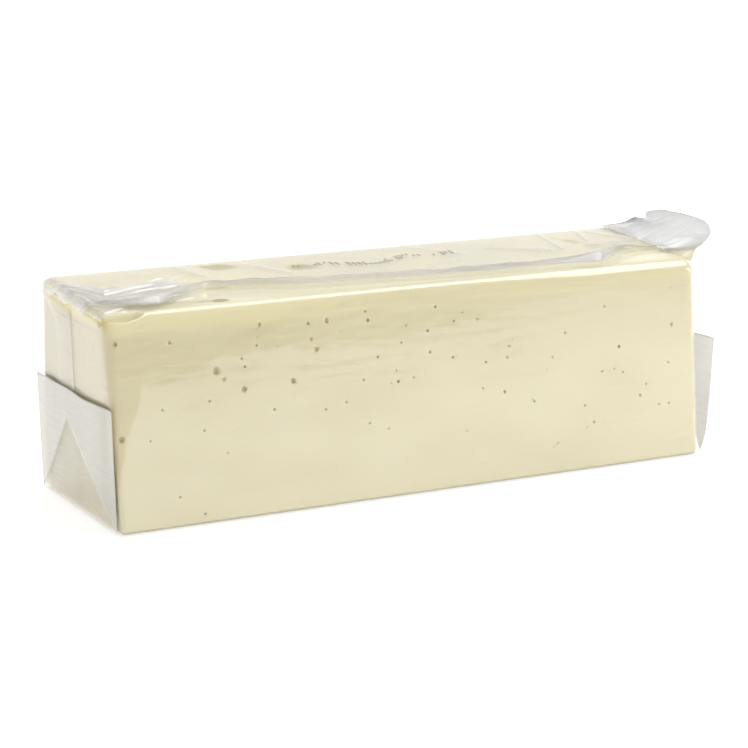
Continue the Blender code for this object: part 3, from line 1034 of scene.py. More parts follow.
@dataclass
class CheeseBlock:
    """The cheese itself, with its largest pinholes cut into the front."""

    form: LoafForm
    depth: float = 0.00068
    dented: float = 1.25
    rows: tuple[tuple[str, int], ...] = (
        ("front_base", 5), ("front", 44), ("front_top", 22), ("top", 34),
        ("back_top", 10), ("back", 22), ("back_base", 5), ("base", 8),
    )
    columns: int = 150
    edge_steps: int = 7
    cap_rings: tuple[float, ...] = (0.97, 0.90, 0.78, 0.62, 0.42, 0.20)
    swell: float = 0.00004
    pits: tuple[tuple[float, float, float], ...] = (
        (-0.1372, 0.0395, 0.00130), (-0.0946, 0.0628, 0.00130), (-0.0826, 0.0540, 0.00115),
        (-0.0604, 0.0552, 0.00115), (-0.0438, 0.0785, 0.00090), (-0.1374, 0.0777, 0.00095),
        (-0.1142, 0.0761, 0.00070), (-0.0489, 0.0671, 0.00085), (-0.0512, 0.0715, 0.00075),
        (-0.0912, 0.0589, 0.00080), (-0.0743, 0.0797, 0.00075), (0.1275, 0.0609, 0.00075),
    )
    pit_sink: float = 0.30
    pit_stretches: tuple[float, ...] = (1.1, 1.35, 1.1)

    def front_place(self, x: float, height: float) -> tuple[Vector, Vector]:
        """Point and outward normal on the block's front face.

        Args:
            x: Place along the loaf.
            height: Height above the base.

        Returns:
            The point and the normal.
        """
        low = self.form.section_point("front", 0.0)[1]
        high = self.form.section_point("front", 1.0)[1]
        y, z, ny, nz = self.form.section_point("front", (height - low) / (high - low))
        return Vector((x, y - ny * self.depth, z - nz * self.depth)), Vector((0.0, ny, nz))

    def ring(self, column: Column) -> list[Vector]:
        """Points round the block at one place along it.

        Args:
            column: The place along it.

        Returns:
            The points, once round.
        """
        points = []
        for region, count in self.rows:
            for step in range(count):
                place = self.form.place(region, step / count, column, -self.depth, self.dented)
                wave = ripple(place.x * 45, place.y * 45, place.z * 60)
                _, _, ny, nz = self.form.section_point(region, step / count)
                points.append(place + Vector((0.0, ny, nz)) * (wave * self.swell))
        return points

    def skin(self) -> bpy.types.Mesh:
        """Make the block's closed surface, before its pinholes are cut.

        Returns:
            The mesh, with the tone that sets where the cheese is drawn damp and dim, with a painted
            reflection, or lighter.
        """
        form = self.form
        columns = list(reversed(form.edge_columns(-1, self.edge_steps)))
        columns += form.straight_columns(self.columns, 0.2)
        columns += form.edge_columns(1, self.edge_steps)
        rings = [self.ring(column) for column in columns]
        caps = []
        for ring in (rings[0], rings[-1]):
            centre = sum(ring, Vector()) / len(ring)
            caps.append([[centre.lerp(place, share) for place in ring] for share in self.cap_rings])
        rings = list(reversed(caps[0])) + rings + caps[1]
        count = len(rings[0])
        mesh = bmesh.new()
        made = [[mesh.verts.new(place) for place in ring] for ring in rings]
        for ring, following in zip(made, made[1:]):
            for i in range(count):
                j = (i + 1) % count
                mesh.faces.new((ring[i], following[i], following[j], ring[j]))
        mesh.faces.new(made[0])
        mesh.faces.new(tuple(reversed(made[-1])))
        bmesh.ops.recalc_face_normals(mesh, faces=mesh.faces[:])
        tone = mesh.verts.layers.float.new(TONE)
        for vertex in mesh.verts:
            x, y, z = vertex.co
            # On the front the tone follows the film gap and its painted light; elsewhere it is a fixed
            # middle tone.
            front = smooth_step(-y, 0.030, 0.034) * smooth_step(-abs(x), -0.1420, -0.1392)
            vertex[tone] = 0.75 + (form.film_gap_and_painted_light(x, z) - 0.75) * front
        skin = bpy.data.meshes.new("cheese_block")
        mesh.to_mesh(skin)
        mesh.free()
        skin.shade_smooth()
        return skin

    def cutter(self) -> bpy.types.Object:
        """Make the round hollows to cut into the front.

        Returns:
            One object that holds them all.
        """
        mesh = bmesh.new()
        for index, (x, height, radius) in enumerate(self.pits):
            place, normal = self.front_place(x, height)
            upright = self.pit_stretches[index % len(self.pit_stretches)]
            shape = Matrix.Translation(place + normal * radius * self.pit_sink)
            shape @= Matrix.Diagonal((radius, radius, radius * upright, 1.0))
            bmesh.ops.create_icosphere(mesh, subdivisions=3, radius=1.0, matrix=shape)
        data = bpy.data.meshes.new("pit_cutter")
        mesh.to_mesh(data)
        mesh.free()
        data.shade_smooth()
        data.materials.append(PitFinish().material())
        return new_piece("pit_cutter", data)

    def build(self) -> bpy.types.Object:
        """Make the block and give it its cheese.

        Returns:
            The finished block.
        """
        block = new_piece("cheese_block", self.skin())
        block.data.materials.append(CheeseFinish().material())
        cutter = self.cutter()
        cut = block.modifiers.new("pits", "BOOLEAN")
        cut.operation = "DIFFERENCE"
        cut.solver = "EXACT"
        cut.material_mode = "TRANSFER"
        cut.object = cutter
        settled(block)
        bpy.data.objects.remove(cutter)
        return dress(block, Slot.CHEESE, "cheese_loaf")


class TreeBuilder(NodeTree):
    """A Geometry Nodes tree with named inputs."""

    def __init__(self, name: str, inputs: dict[str, str]) -> None:
        """Start a tree.

        Args:
            name: The tree's name.
            inputs: Socket type of each input after the geometry, by name.
        """
        super().__init__(bpy.data.node_groups.new(name, "GeometryNodeTree"))
        face = self.tree.interface
        for way in ("INPUT", "OUTPUT"):
            face.new_socket("Geometry", in_out=way, socket_type="NodeSocketGeometry")
        self.keys = {
            key: face.new_socket(key, in_out="INPUT", socket_type=kind).identifier
            for key, kind in inputs.items()
        }
        self.start = self.tree.nodes.new("NodeGroupInput")

    def given(self, name: str) -> bpy.types.NodeSocket:
        """Socket of one of the tree's inputs."""
        return self.start.outputs[name]

    def chance(self) -> bpy.types.NodeSocket:
        """Draw a random number for each point.

        Returns:
            The number's socket, from 0 to 1.
        """
        made = self.node(
            "FunctionNodeRandomValue", {"data_type": "FLOAT"}, {"Seed": self.given("Seed")}
        )
        return made.outputs[1]

    def store(
        self, geometry: bpy.types.NodeSocket, name: str, value: bpy.types.NodeSocket
    ) -> bpy.types.NodeSocket:
        """Keep a number under a name on each point of a geometry.

        Args:
            geometry: The geometry.
            name: The number's name.
            value: The number.

        Returns:
            The geometry with the number on it.
        """
        made = self.node(
            "GeometryNodeStoreNamedAttribute", {"data_type": "FLOAT", "domain": "POINT"},
            {"Geometry": geometry, "Name": name, "Value": value},
        )
        return made.outputs[0]

    def without(self, chosen: bpy.types.NodeSocket) -> bpy.types.NodeSocket:
        """Take points out of the tree's own geometry.

        Args:
            chosen: The points to take out.

        Returns:
            The geometry that is left.
        """
        made = self.node(
            "GeometryNodeDeleteGeometry", {"domain": "POINT"},
            {"Geometry": self.given("Geometry"), "Selection": chosen},
        )
        return made.outputs[0]

    def close(self, geometry: bpy.types.NodeSocket) -> None:
        """End the tree: real meshes, with the given material.

        Args:
            geometry: The geometry, with its instances.
        """
        real = self.node("GeometryNodeRealizeInstances", None, {0: geometry})
        painted = self.node(
            "GeometryNodeSetMaterial", None,
            {"Geometry": real.outputs[0], "Material": self.given("Material")},
        )
        end = self.tree.nodes.new("NodeGroupOutput")
        self.tree.links.new(painted.outputs[0], end.inputs[0])

    def grow(self, piece: bpy.types.Object, values: dict[str, Any]) -> bpy.types.Object:
        """Run the tree on an object and keep the result as plain mesh.

        Args:
            piece: Object whose mesh is the tree's geometry.
            values: Value of each of the tree's inputs.

        Returns:
            The same object, with the tree's result as its mesh.
        """
        modifier = piece.modifiers.new(self.tree.name, "NODES")
        modifier.node_group = self.tree
        for key, value in values.items():
            modifier[self.keys[key]] = value
        return settled(piece)


@dataclass
class Pinholes:
    """Marks of small holes over the front of the cheese, dark discs that paint the shade inside each
    hole: the plainest ones in place, the rest scattered.
    """

    block: CheeseBlock
    placed: tuple[tuple[float, float, float, float], ...] = (
        (-0.1189, 0.0494, 0.45, 0.6), (-0.0982, 0.0507, 0.45, 0.5), (-0.0818, 0.0631, 0.50, 0.8),
        (-0.0830, 0.0666, 0.45, 0.6), (-0.0760, 0.0712, 0.45, 0.8), (-0.0522, 0.0779, 0.50, 0.8),
        (-0.0695, 0.0443, 0.50, 0.7), (-0.1012, 0.0392, 0.45, 0.6), (-0.0915, 0.0289, 0.40, 0.5),
        (-0.0256, 0.0805, 0.45, 0.6), (-0.0245, 0.0768, 0.60, 0.9), (-0.0207, 0.0610, 0.50, 0.7),
        (-0.0092, 0.0659, 0.45, 0.6), (0.0036, 0.0696, 0.55, 0.8), (0.0078, 0.0794, 0.50, 0.8),
        (0.0164, 0.0726, 0.50, 0.6), (0.0280, 0.0724, 0.45, 0.5), (0.0043, 0.0606, 0.55, 0.8),
        (0.0153, 0.0573, 0.50, 0.8), (0.0313, 0.0536, 0.50, 0.7), (0.0293, 0.0425, 0.45, 0.6),
        (-0.0116, 0.0497, 0.60, 1.0), (-0.0279, 0.0521, 0.45, 0.6), (-0.0040, 0.0507, 0.45, 0.6),
        (-0.0461, 0.0417, 0.50, 0.6), (-0.0364, 0.0437, 0.45, 0.6), (-0.0260, 0.0337, 0.45, 0.6),
        (-0.0171, 0.0304, 0.40, 0.5), (0.0400, 0.0399, 0.60, 0.9), (0.0420, 0.0546, 0.45, 0.7),
        (0.0432, 0.0593, 0.45, 0.8), (0.0717, 0.0624, 0.50, 0.8), (0.0648, 0.0524, 0.45, 0.6),
        (0.0547, 0.0342, 0.50, 0.8), (0.0993, 0.0537, 0.65, 1.0), (0.0901, 0.0436, 0.45, 0.6),
        (0.1009, 0.0422, 0.45, 0.6), (0.1095, 0.0309, 0.55, 0.8), (0.1129, 0.0357, 0.45, 0.6),
        (0.0804, 0.0295, 0.45, 0.6), (0.0849, 0.0217, 0.50, 0.8), (0.0925, 0.0719, 0.45, 0.6),
        (0.1251, 0.0441, 0.45, 0.6), (0.1195, 0.0259, 0.40, 0.5), (0.1248, 0.0258, 0.45, 0.6),
        (-0.1135, 0.0134, 0.45, 0.6), (-0.1030, 0.0053, 0.50, 0.7), (0.0658, 0.0145, 0.45, 0.5),
    )
    millimetre: float = 0.00122
    density: float = 9000.0
    seed: int = 11
    smallest: float = 0.00012
    largest: float = 0.00044
    rareness: float = 2.5
    flatness: float = 0.10
    segments: int = 8
    rings: int = 4
    margin: float = 0.004
    lift: float = 0.00004

    def tree(self) -> TreeBuilder:
        """Scatter marks over a patch and set more at its loose points.

        Returns:
            The tree.
        """
        kinds = {
            "Density": "NodeSocketFloat", "Seed": "NodeSocketInt",
            "Smallest": "NodeSocketFloat", "Largest": "NodeSocketFloat",
            "Flatness": "NodeSocketFloat", "Normal": "NodeSocketVector",
            "Material": "NodeSocketMaterial",
        }
        build = TreeBuilder("pinhole_scatter", kinds)
        scattered = build.node(
            "GeometryNodeDistributePointsOnFaces",
            {"distribute_method": "RANDOM"},
            {"Mesh": build.given("Geometry"), "Density": build.given("Density"),
             "Seed": build.given("Seed")},
        )
        rare = build.node(
            "ShaderNodeMath", {"operation": "POWER"}, {0: build.chance(), 1: self.rareness}
        )
        radius = build.node(
            "ShaderNodeMapRange", None,
            {"Value": rare.outputs[0], "To Min": build.given("Smallest"),
             "To Max": build.given("Largest")},
        )
        sized = build.store(scattered.outputs["Points"], HOLE, radius.outputs[0])
        toned = build.store(sized, TONE, rare.outputs[0])
        lone = build.node("GeometryNodeInputMeshVertexNeighbors")
        has_face = build.node(
            "FunctionNodeCompare", {"data_type": "INT", "operation": "GREATER_THAN"},
            {2: lone.outputs["Face Count"], 3: 0},
        )
        placed = build.without(has_face.outputs[0])
        points = build.node("GeometryNodeMeshToPoints", None, {"Mesh": placed})
        joined = build.node("GeometryNodeJoinGeometry")
        build.tree.links.new(toned, joined.inputs[0])
        build.tree.links.new(points.outputs[0], joined.inputs[0])
        ball = build.node(
            "GeometryNodeMeshUVSphere", None,
            {"Segments": self.segments, "Rings": self.rings, "Radius": 1.0},
        )
        facing = build.node(
            "FunctionNodeAlignRotationToVector", {"axis": "Z"}, {"Vector": build.given("Normal")}
        )
        size = build.node(
            "GeometryNodeInputNamedAttribute", {"data_type": "FLOAT"}, {"Name": HOLE}
        )
        thin = build.node(
            "ShaderNodeMath", {"operation": "MULTIPLY"},
            {0: size.outputs[0], 1: build.given("Flatness")},
        )
        scale = build.node(
            "ShaderNodeCombineXYZ", None,
            {0: size.outputs[0], 1: size.outputs[0], 2: thin.outputs[0]},
        )
        marks = build.node(
            "GeometryNodeInstanceOnPoints", None,
            {"Points": joined.outputs[0], "Instance": ball.outputs[0],
             "Rotation": facing.outputs[0], "Scale": scale.outputs[0]},
        )
        build.close(marks.outputs[0])
        return build

    def patch(self) -> bpy.types.Object:
        """Make the front patch for the scattered holes, and a loose point for each placed one.

        Returns:
            The patch, with the size and tone of each placed hole.
        """
        half = self.block.form.length / 2 - self.margin
        top = self.block.form.front_height - 2 * self.margin
        corners = [(-half, self.margin), (half, self.margin), (half, top), (-half, top)]
        spots = corners + [(x, z) for x, z, _, _ in self.placed]
        places = []
        for x, z in spots:
            place, normal = self.block.front_place(x, z)
            places.append(place + normal * self.lift)
        mesh = bpy.data.meshes.new("pinholes")
        mesh.from_pydata(places, [], [(0, 1, 2, 3)])
        radii = [0.0] * len(corners) + [size * self.millimetre for _, _, size, _ in self.placed]
        tones = [0.0] * len(corners) + [tone for _, _, _, tone in self.placed]
        for name, values in ((HOLE, radii), (TONE, tones)):
            mesh.attributes.new(name, "FLOAT", "POINT").data.foreach_set("value", values)
        return new_piece("pinholes", mesh)

    def build(self) -> bpy.types.Object:
        """Make the pinholes as one mesh on the front of the cheese.

        Returns:
            The finished pinholes.
        """
        _, normal = self.block.front_place(0.0, self.block.form.front_height / 2)
        values = {
            "Density": self.density, "Seed": self.seed, "Smallest": self.smallest,
            "Largest": self.largest, "Flatness": self.flatness, "Normal": normal,
            "Material": PinholeFinish().material(),
        }
        piece = self.tree().grow(self.patch(), values)
        piece.data.shade_smooth()
        return dress(piece, Slot.CHEESE)


# -------------------------------------------------------------------- the film


@dataclass(frozen=True)
class Crease:
    """A fold of the film: a straight, soft-sided crest that also whitens it."""

    start: tuple[float, float]
    end: tuple[float, float]
    height: float
    width: float
    haze: float = 0.5

    def share(self, x: float, y: float) -> float:
        """How near a place is to the crest.

        Args:
            x: Place along the loaf.
            y: Place across it.

        Returns:
            1 on the crest and 0 far from it.
        """
        ax, ay = self.start
        bx, by = self.end
        along = (x - ax) * (bx - ax) + (y - ay) * (by - ay)
        length_squared = (bx - ax) ** 2 + (by - ay) ** 2
        fraction = min(max(along / length_squared, 0.0), 1.0)
        gap = math.hypot(x - ax - fraction * (bx - ax), y - ay - fraction * (by - ay))
        return math.exp(-((gap / self.width) ** 2))


@dataclass
class Wrap:
    """What the film's panels share: the lap, the folds on the top and the end tucks."""

    form: LoafForm
    layer: float = 0.00068
    lap_overlap: float = 0.012
    lap_rise: float = 0.0045
    front_tuck_edge: float = 0.0175
    back_tuck_edge: float = 0.0010
    back_tuck_sink: float = 0.045
    length_steps: int = 300
    edge_steps: int = 6
    tuck_steps: int = 12
    lap_line: Line = (
        (-0.1430, -0.0170), (-0.1363, -0.0202), (-0.1273, -0.0243), (-0.1160, -0.0272),
        (-0.1098, -0.0239), (-0.1029, -0.0180), (-0.0935, -0.0134), (-0.0846, -0.0101),
        (-0.0719, -0.0122), (-0.0633, -0.0135), (-0.0470, -0.0181), (-0.0108, -0.0211),
        (0.0265, -0.0238), (0.0661, -0.0250), (0.0863, -0.0260), (0.0943, -0.0276),
        (0.1005, -0.0251), (0.1072, -0.0204), (0.1183, -0.0133), (0.1430, -0.0120),
    )
    lip_line: Line = (
        (-0.1430, 0.0010), (-0.1250, 0.0030), (-0.1120, 0.0040), (-0.0950, 0.0032),
        (-0.0780, 0.0022), (-0.0650, 0.0030), (-0.0500, 0.0028), (-0.0140, 0.0028),
        (0.0300, 0.0026), (0.0700, 0.0028), (0.0863, 0.0036), (0.0943, 0.0054),
        (0.1005, 0.0050), (0.1072, 0.0042), (0.1183, 0.0024), (0.1280, 0.0008), (0.1430, 0.0004),
    )
    creases: tuple[Crease, ...] = (
        Crease((-0.0850, 0.0290), (-0.0784, 0.0070), 0.0004, 0.0013, 0.32),
        Crease((0.0974, 0.0290), (0.0930, 0.0000), 0.0004, 0.0013, 0.34),
        Crease((0.1180, 0.0290), (0.1126, 0.0110), 0.0004, 0.0013, 0.32),
        Crease((0.1000, 0.0190), (0.1074, 0.0057), 0.0005, 0.0010, 0.05),
        Crease((0.0620, 0.0120), (0.0860, -0.0010), 0.0005, 0.0018, 0.30),
        Crease((0.0300, 0.0240), (0.0460, 0.0060), 0.0003, 0.0016, 0.25),
        Crease((-0.0560, 0.0250), (-0.0420, 0.0010), 0.0003, 0.0016, 0.25),
        Crease((0.1240, 0.0250), (0.1330, 0.0060), 0.0004, 0.0022, 0.40),
        Crease((0.1080, 0.0020), (0.1270, -0.0020), 0.0008, 0.0020, 0.45),
    )

    def columns(self) -> list[Column]:
        """Columns of a panel with its tucks over the ends, from left to right.

        Returns:
            The columns.
        """
        onward = [(step + 1) / self.tuck_steps for step in range(self.tuck_steps)]
        left = [Column(-1, turn=QUARTER_TURN, onward=share) for share in reversed(onward)]
        left += reversed(self.form.edge_columns(-1, self.edge_steps))
        right = self.form.edge_columns(1, self.edge_steps)
        right += [Column(1, turn=QUARTER_TURN, onward=share) for share in onward]
        return left + self.form.straight_columns(self.length_steps) + right

    def clinging(self, x: float, y: float) -> float:
        """How closely the film clings to a damp patch of the top.

        Args:
            x: Place along the loaf.
            y: Place across it.

        Returns:
            1 in the middle of a patch and 0 far from all of them.
        """
        patches = CheeseFinish.damp_patches
        gap = min(((x - px) / rx) ** 2 + ((y - py) / ry) ** 2 for px, py, rx, ry, _ in patches)
        return math.exp(-0.8 * gap)

    def folds(self, x: float, y: float) -> tuple[float, float]:
        """Lift and haze of the top's creases at a place.

        Args:
            x: Place along the loaf.
            y: Place across it.

        Returns:
            Height above the film's plain surface, and added haze.
        """
        lift = 0.0
        haze = 0.0
        bend = 0.0012 * ripple(x * 90, y * 90, 5.0)
        for crease in self.creases:
            share = crease.share(x + bend, y)
            lift += crease.height * share
            haze = max(haze, crease.haze * share ** 3)
        return lift, haze

    def tuck(self, place: Vector, column: Column, edge: float, layers: float, sink: float) -> Vector:
        """Find a point of a tuck over an end.

        Args:
            place: Point where the tuck leaves the upright edge.
            column: Place across the end.
            edge: Where the tuck stops across the loaf.
            layers: Its height above the end face where it lies on another tuck.
            sink: Share of its height that it loses on the way.

        Returns:
            The point.
        """
        y = place.y + (edge - place.y) * column.onward
        z = place.z * (1 - sink * column.onward)
        climb = smooth_step(y, self.back_tuck_edge - 0.0060, self.back_tuck_edge - 0.0008)
        reach = self.form.end_reach(z) + layers * climb
        reach += 0.00012 * ripple(y * 160, z * 60, 2.0 + column.side)
        return Vector((column.side * reach, y, z))


@dataclass
class FrontPanel:
    """Front of the film: hem, front face, top edge and the strip under the lap."""

    wrap: Wrap
    front_rows: int = 56
    arc_rows: int = 22
    strip_rows: int = 14
    under_rows: int = 6
    wave_height: float = 0.00016
    strip_wave: float = 0.00010
    strip_haze: float = 0.30
    strip_haze_swing: float = 0.40
    edge_haze: float = 0.10

    def waves(self, x: float, z: float) -> float:
        """Fine level ripples, strongest over the upper left.

        Args:
            x: Place along the loaf.
            z: Height above the base.

        Returns:
            The film's lift there.
        """
        calm = 0.25 + 0.75 * smooth_step(z, 0.040, 0.062) * smooth_step(-x, -0.075, 0.0)
        fine = ripple(x * 55, z * 330, 0.7) * 0.6 + ripple(x * 120, z * 700, 5.1) * 0.4
        return self.wave_height * calm * fine

    def face_point(self, region: str, fraction: float, column: Column) -> Vector:
        """Find a point of the panel below the top, or of its tucks over the ends.

        Args:
            region: Place round the section.
            fraction: Share of the way along it.
            column: Place along the loaf.

        Returns:
            The point.
        """
        place = self.wrap.form.place(region, fraction, column, 0.0)
        if column.onward > 0:
            wrap = self.wrap
            return wrap.tuck(place, column, wrap.front_tuck_edge, wrap.layer, 0.0)
        if column.side == 0 and region == "front":
            lift = self.waves(place.x, place.z)
            return self.wrap.form.place(region, fraction, column, lift)
        return place

    def face_haze(self, region: str, place: Vector, column: Column) -> float:
        """Haze of the panel below the top.

        Args:
            region: Place round the section.
            place: The point.
            column: Place along the loaf.

        Returns:
            The haze there.
        """
        if column.onward > 0:
            rim = smooth_step(column.onward, 0.95, 1.0)
            return 1.0 + 1.5 * rim
        if region == "front_top":
            return self.edge_haze
        return self.wrap.form.film_gap_and_painted_light(place.x, place.z)

    def top_row(self, step: int, columns: list[Column]) -> tuple[list[Vector], list[float]]:
        """Make one row of the strip on the top, which runs on under the lap.

        Args:
            step: Number of the row, from the top's front edge backwards.
            columns: Places along the loaf.

        Returns:
            The row's points and their haze.
        """
        wrap = self.wrap
        form = wrap.form
        start = form.section_point("top", 0.0)[0]
        points, haze = [], []
        for column in columns:
            x = form.place("top", 0.0, column, 0.0).x
            lap = read_line(wrap.lap_line, x)
            y = start + (lap - start) * step / self.strip_rows
            if step > self.strip_rows:
                y = lap + wrap.lap_overlap * (step - self.strip_rows) / self.under_rows
            wave = self.strip_wave * ripple(x * 50, y * 200, 6.5)
            points.append(form.place("top", form.top_fraction(y), column, wave))
            haze.append(self.strip_haze + self.strip_haze_swing * ripple(x * 35, y * 160, 8.8))
        return points, haze

    def build(self) -> bpy.types.Object:
        """Make the panel and its finish.

        Returns:
            The finished panel.
        """
        columns = self.wrap.columns()
        rows = [("front_base", 0.5), ("front_base", 0.75), ("front_base", 1.0)]
        rows += [("front", step / self.front_rows) for step in range(1, self.front_rows + 1)]
        rows += [("front_top", step / self.arc_rows) for step in range(1, self.arc_rows)]
        sheet = Sheet("film_front")
        for region, fraction in rows:
            points = [self.face_point(region, fraction, column) for column in columns]
            haze = [self.face_haze(region, p, c) for p, c in zip(points, columns)]
            sheet.add_row(points, haze)
        for step in range(self.strip_rows + self.under_rows + 1):
            sheet.add_row(*self.top_row(step, columns))
        onward = [column.onward > 0 for column in columns]
        last_side = len(rows) - self.arc_rows
        sheet.kept = lambda i, j: i < last_side or not (onward[j] or onward[j + 1])
        return dress(sheet.build(FRONT_FILM.material()), Slot.FILM_LAID, "wrap_front")


@dataclass
class BackPanel:
    """Back of the film: the lap with its upright lip, the back face and the hem."""

    wrap: Wrap
    lip_rows: int = 7
    strip_rows: int = 44
    arc_rows: int = 9
    back_rows: int = 26
    lip_lean: float = 0.0012
    corner_ease: float = 0.0030
    side_wave: float = 0.00014
    side_haze: float = 0.20
    side_haze_swing: float = 0.14
    tuck_haze: float = 0.16
    tuck_rim: float = 0.25

    def lift(self, x: float, y: float) -> tuple[float, float]:
        """Lift and haze of the strip on the top.

        Args:
            x: Place along the loaf.
            y: Place across it.

        Returns:
            Height above the form, and haze.
        """
        wrap = self.wrap
        under = read_line(wrap.lap_line, x) + wrap.lap_overlap
        over = wrap.layer * (1 - smooth_step(y, under + 0.0004, under + wrap.lap_rise))
        fold, fold_haze = wrap.folds(x, y)
        sag = 0.00014 * ripple(x * 30, y * 60, 11.0)
        # Painted light: a little less haze over the top's left part lets the cream show, so that part
        # reads lighter.
        haze = 0.18 + 0.04 * smooth_step(x, -0.09, 0.0) + 0.12 * ripple(x * 28, y * 60, 12.0)
        haze *= 1 - 0.9 * wrap.clinging(x, y)
        return over + fold + sag, haze + fold_haze

    def lip_point(self, edge: Vector, share: float) -> Vector:
        """Find a point of the lip above the lap's free edge.

        Args:
            edge: Point of the free edge below it.
            share: Share of the lip's height.

        Returns:
            The point.
        """
        height = read_line(self.wrap.lip_line, edge.x)
        height *= 1.05 + 0.25 * ripple(edge.x * 90, 0.0, 13.0)
        lean = self.lip_lean * (share ** 2) * (1 + 0.5 * ripple(edge.x * 60, 1.0, 14.0))
        return edge + Vector((0.0, -lean, height * math.sin(share * QUARTER_TURN)))

    def lip_haze(self, x: float, share: float) -> float:
        """Haze of the lip, whose grey is painted shade of the standing fold: greyest at its foot and
        darker towards the right end, streaked along its length.

        Args:
            x: Place along the loaf.
            share: Share of the lip's height.

        Returns:
            The haze there.
        """
        # Painted shade: the lip is drawn greyer towards the right end, where its folds lie in shade.
        darker = smooth_step(x, -0.02, 0.06)
        streaks = 0.16 * ripple(x * 40, share * 4.5, 15.0)
        return 0.66 + 0.30 * darker - (0.04 + 0.20 * darker) * share + streaks

    def top_row(self, step: int, columns: list[Column]) -> tuple[list[Vector], list[float]]:
        """Make one row of the strip on the top.

        Args:
            step: Number of the row, from the lap's free edge backwards.
            columns: Places along the loaf.

        Returns:
            The row's points and their haze.
        """
        form = self.wrap.form
        start = form.section_point("top", 1.0)[0]
        points, haze = [], []
        for column in columns:
            x = form.place("top", 0.5, column, 0.0).x
            edge = read_line(self.wrap.lap_line, x)
            y = edge + (start - edge) * (step / self.strip_rows)
            lift, misty = self.lift(x, y)
            lift *= smooth_step(start - y, 0.0, self.corner_ease)
            points.append(form.place("top", form.top_fraction(y), column, lift))
            haze.append(misty)
        return points, haze

    def side_point(self, region: str, fraction: float, column: Column) -> tuple[Vector, float]:
        """Find a point of the back face or of its tucks over the ends.

        Args:
            region: Place round the section.
            fraction: Share of the way along it.
            column: Place along the loaf.

        Returns:
            The point and its haze.
        """
        wrap = self.wrap
        place = wrap.form.place(region, fraction, column, 0.0)
        if column.onward > 0:
            haze = self.tuck_haze + self.tuck_rim * smooth_step(column.onward, 0.95, 1.0)
            return wrap.tuck(place, column, wrap.back_tuck_edge, 0.0, wrap.back_tuck_sink), haze
        haze = self.side_haze + self.side_haze_swing * ripple(place.x * 22, place.z * 60, 16.0)
        if region == "back":
            wave = self.side_wave * ripple(place.x * 60, place.z * 240, 17.0)
            place = wrap.form.place(region, fraction, column, wave)
        return place, haze

    def build(self) -> bpy.types.Object:
        """Make the panel and its finish.

        Returns:
            The finished panel.
        """
        columns = self.wrap.columns()
        strip = [self.top_row(step, columns) for step in range(self.strip_rows + 1)]
        sheet = Sheet("film_back")
        for step in range(self.lip_rows, 0, -1):
            share = step / self.lip_rows
            points = [self.lip_point(place, share) for place in strip[0][0]]
            sheet.add_row(points, [self.lip_haze(p.x, share) for p in points])
        for points, haze in strip:
            sheet.add_row(points, haze)
        first_side = len(sheet.points) + self.arc_rows - 1
        rows = [("back_top", step / self.arc_rows) for step in range(1, self.arc_rows)]
        rows += [("back", step / self.back_rows) for step in range(self.back_rows + 1)]
        rows += [("back_base", 0.25), ("back_base", 0.5)]
        for region, fraction in rows:
            found = [self.side_point(region, fraction, column) for column in columns]
            sheet.add_row([place for place, _ in found], [haze for _, haze in found])
        onward = [column.onward > 0 for column in columns]
        sheet.kept = lambda i, j: i >= first_side or not (onward[j] or onward[j + 1])
        return dress(sheet.build(LAID_FILM.material()), Slot.FILM_LAID, "wrap_back")


@dataclass(frozen=True)
class FoldedCorner:
    """Two fold lines that meet in a V on the top, seen from its tip outwards."""

    tip: tuple[float, float]
    end_arm: tuple[float, float]
    long_arm: tuple[float, float]

    def place(self, x: float, y: float) -> tuple[float, float]:
        """Find a place relative to the V.

        Args:
            x: Place along the loaf.
            y: Place across it.

        Returns:
            Distance outside the V, negative inside it, and the way along its nearer arm.
        """
        found = []
        for (ax, ay), turn in ((self.end_arm, 1.0), (self.long_arm, -1.0)):
            length = math.hypot(ax - self.tip[0], ay - self.tip[1])
            ux, uy = (ax - self.tip[0]) / length, (ay - self.tip[1]) / length
            gx, gy = x - self.tip[0], y - self.tip[1]
            found.append((turn * (ux * gy - uy * gx), ux * gx + uy * gy))
        return max(found)


LEFT_CORNER = FoldedCorner((-0.1290, -0.0043), (-0.1445, 0.0250), (-0.0972, 0.0079))
RIGHT_CORNER = FoldedCorner((0.1300, 0.0300), (0.1300, 0.0400), (0.1200, 0.0400))
# How far the gathered film hangs over each end, by the place across it.
LEFT_SKIRT: Line = (
    (-0.0345, 0.0002), (-0.0200, 0.0012), (-0.0086, 0.0028), (-0.0030, 0.0022),
    (0.0064, 0.0040), (0.0125, 0.0016), (0.0217, 0.0045), (0.0300, 0.0042), (0.0345, 0.0036),
)
RIGHT_SKIRT: Line = ((-0.0345, 0.0006), (0.0345, 0.0016))


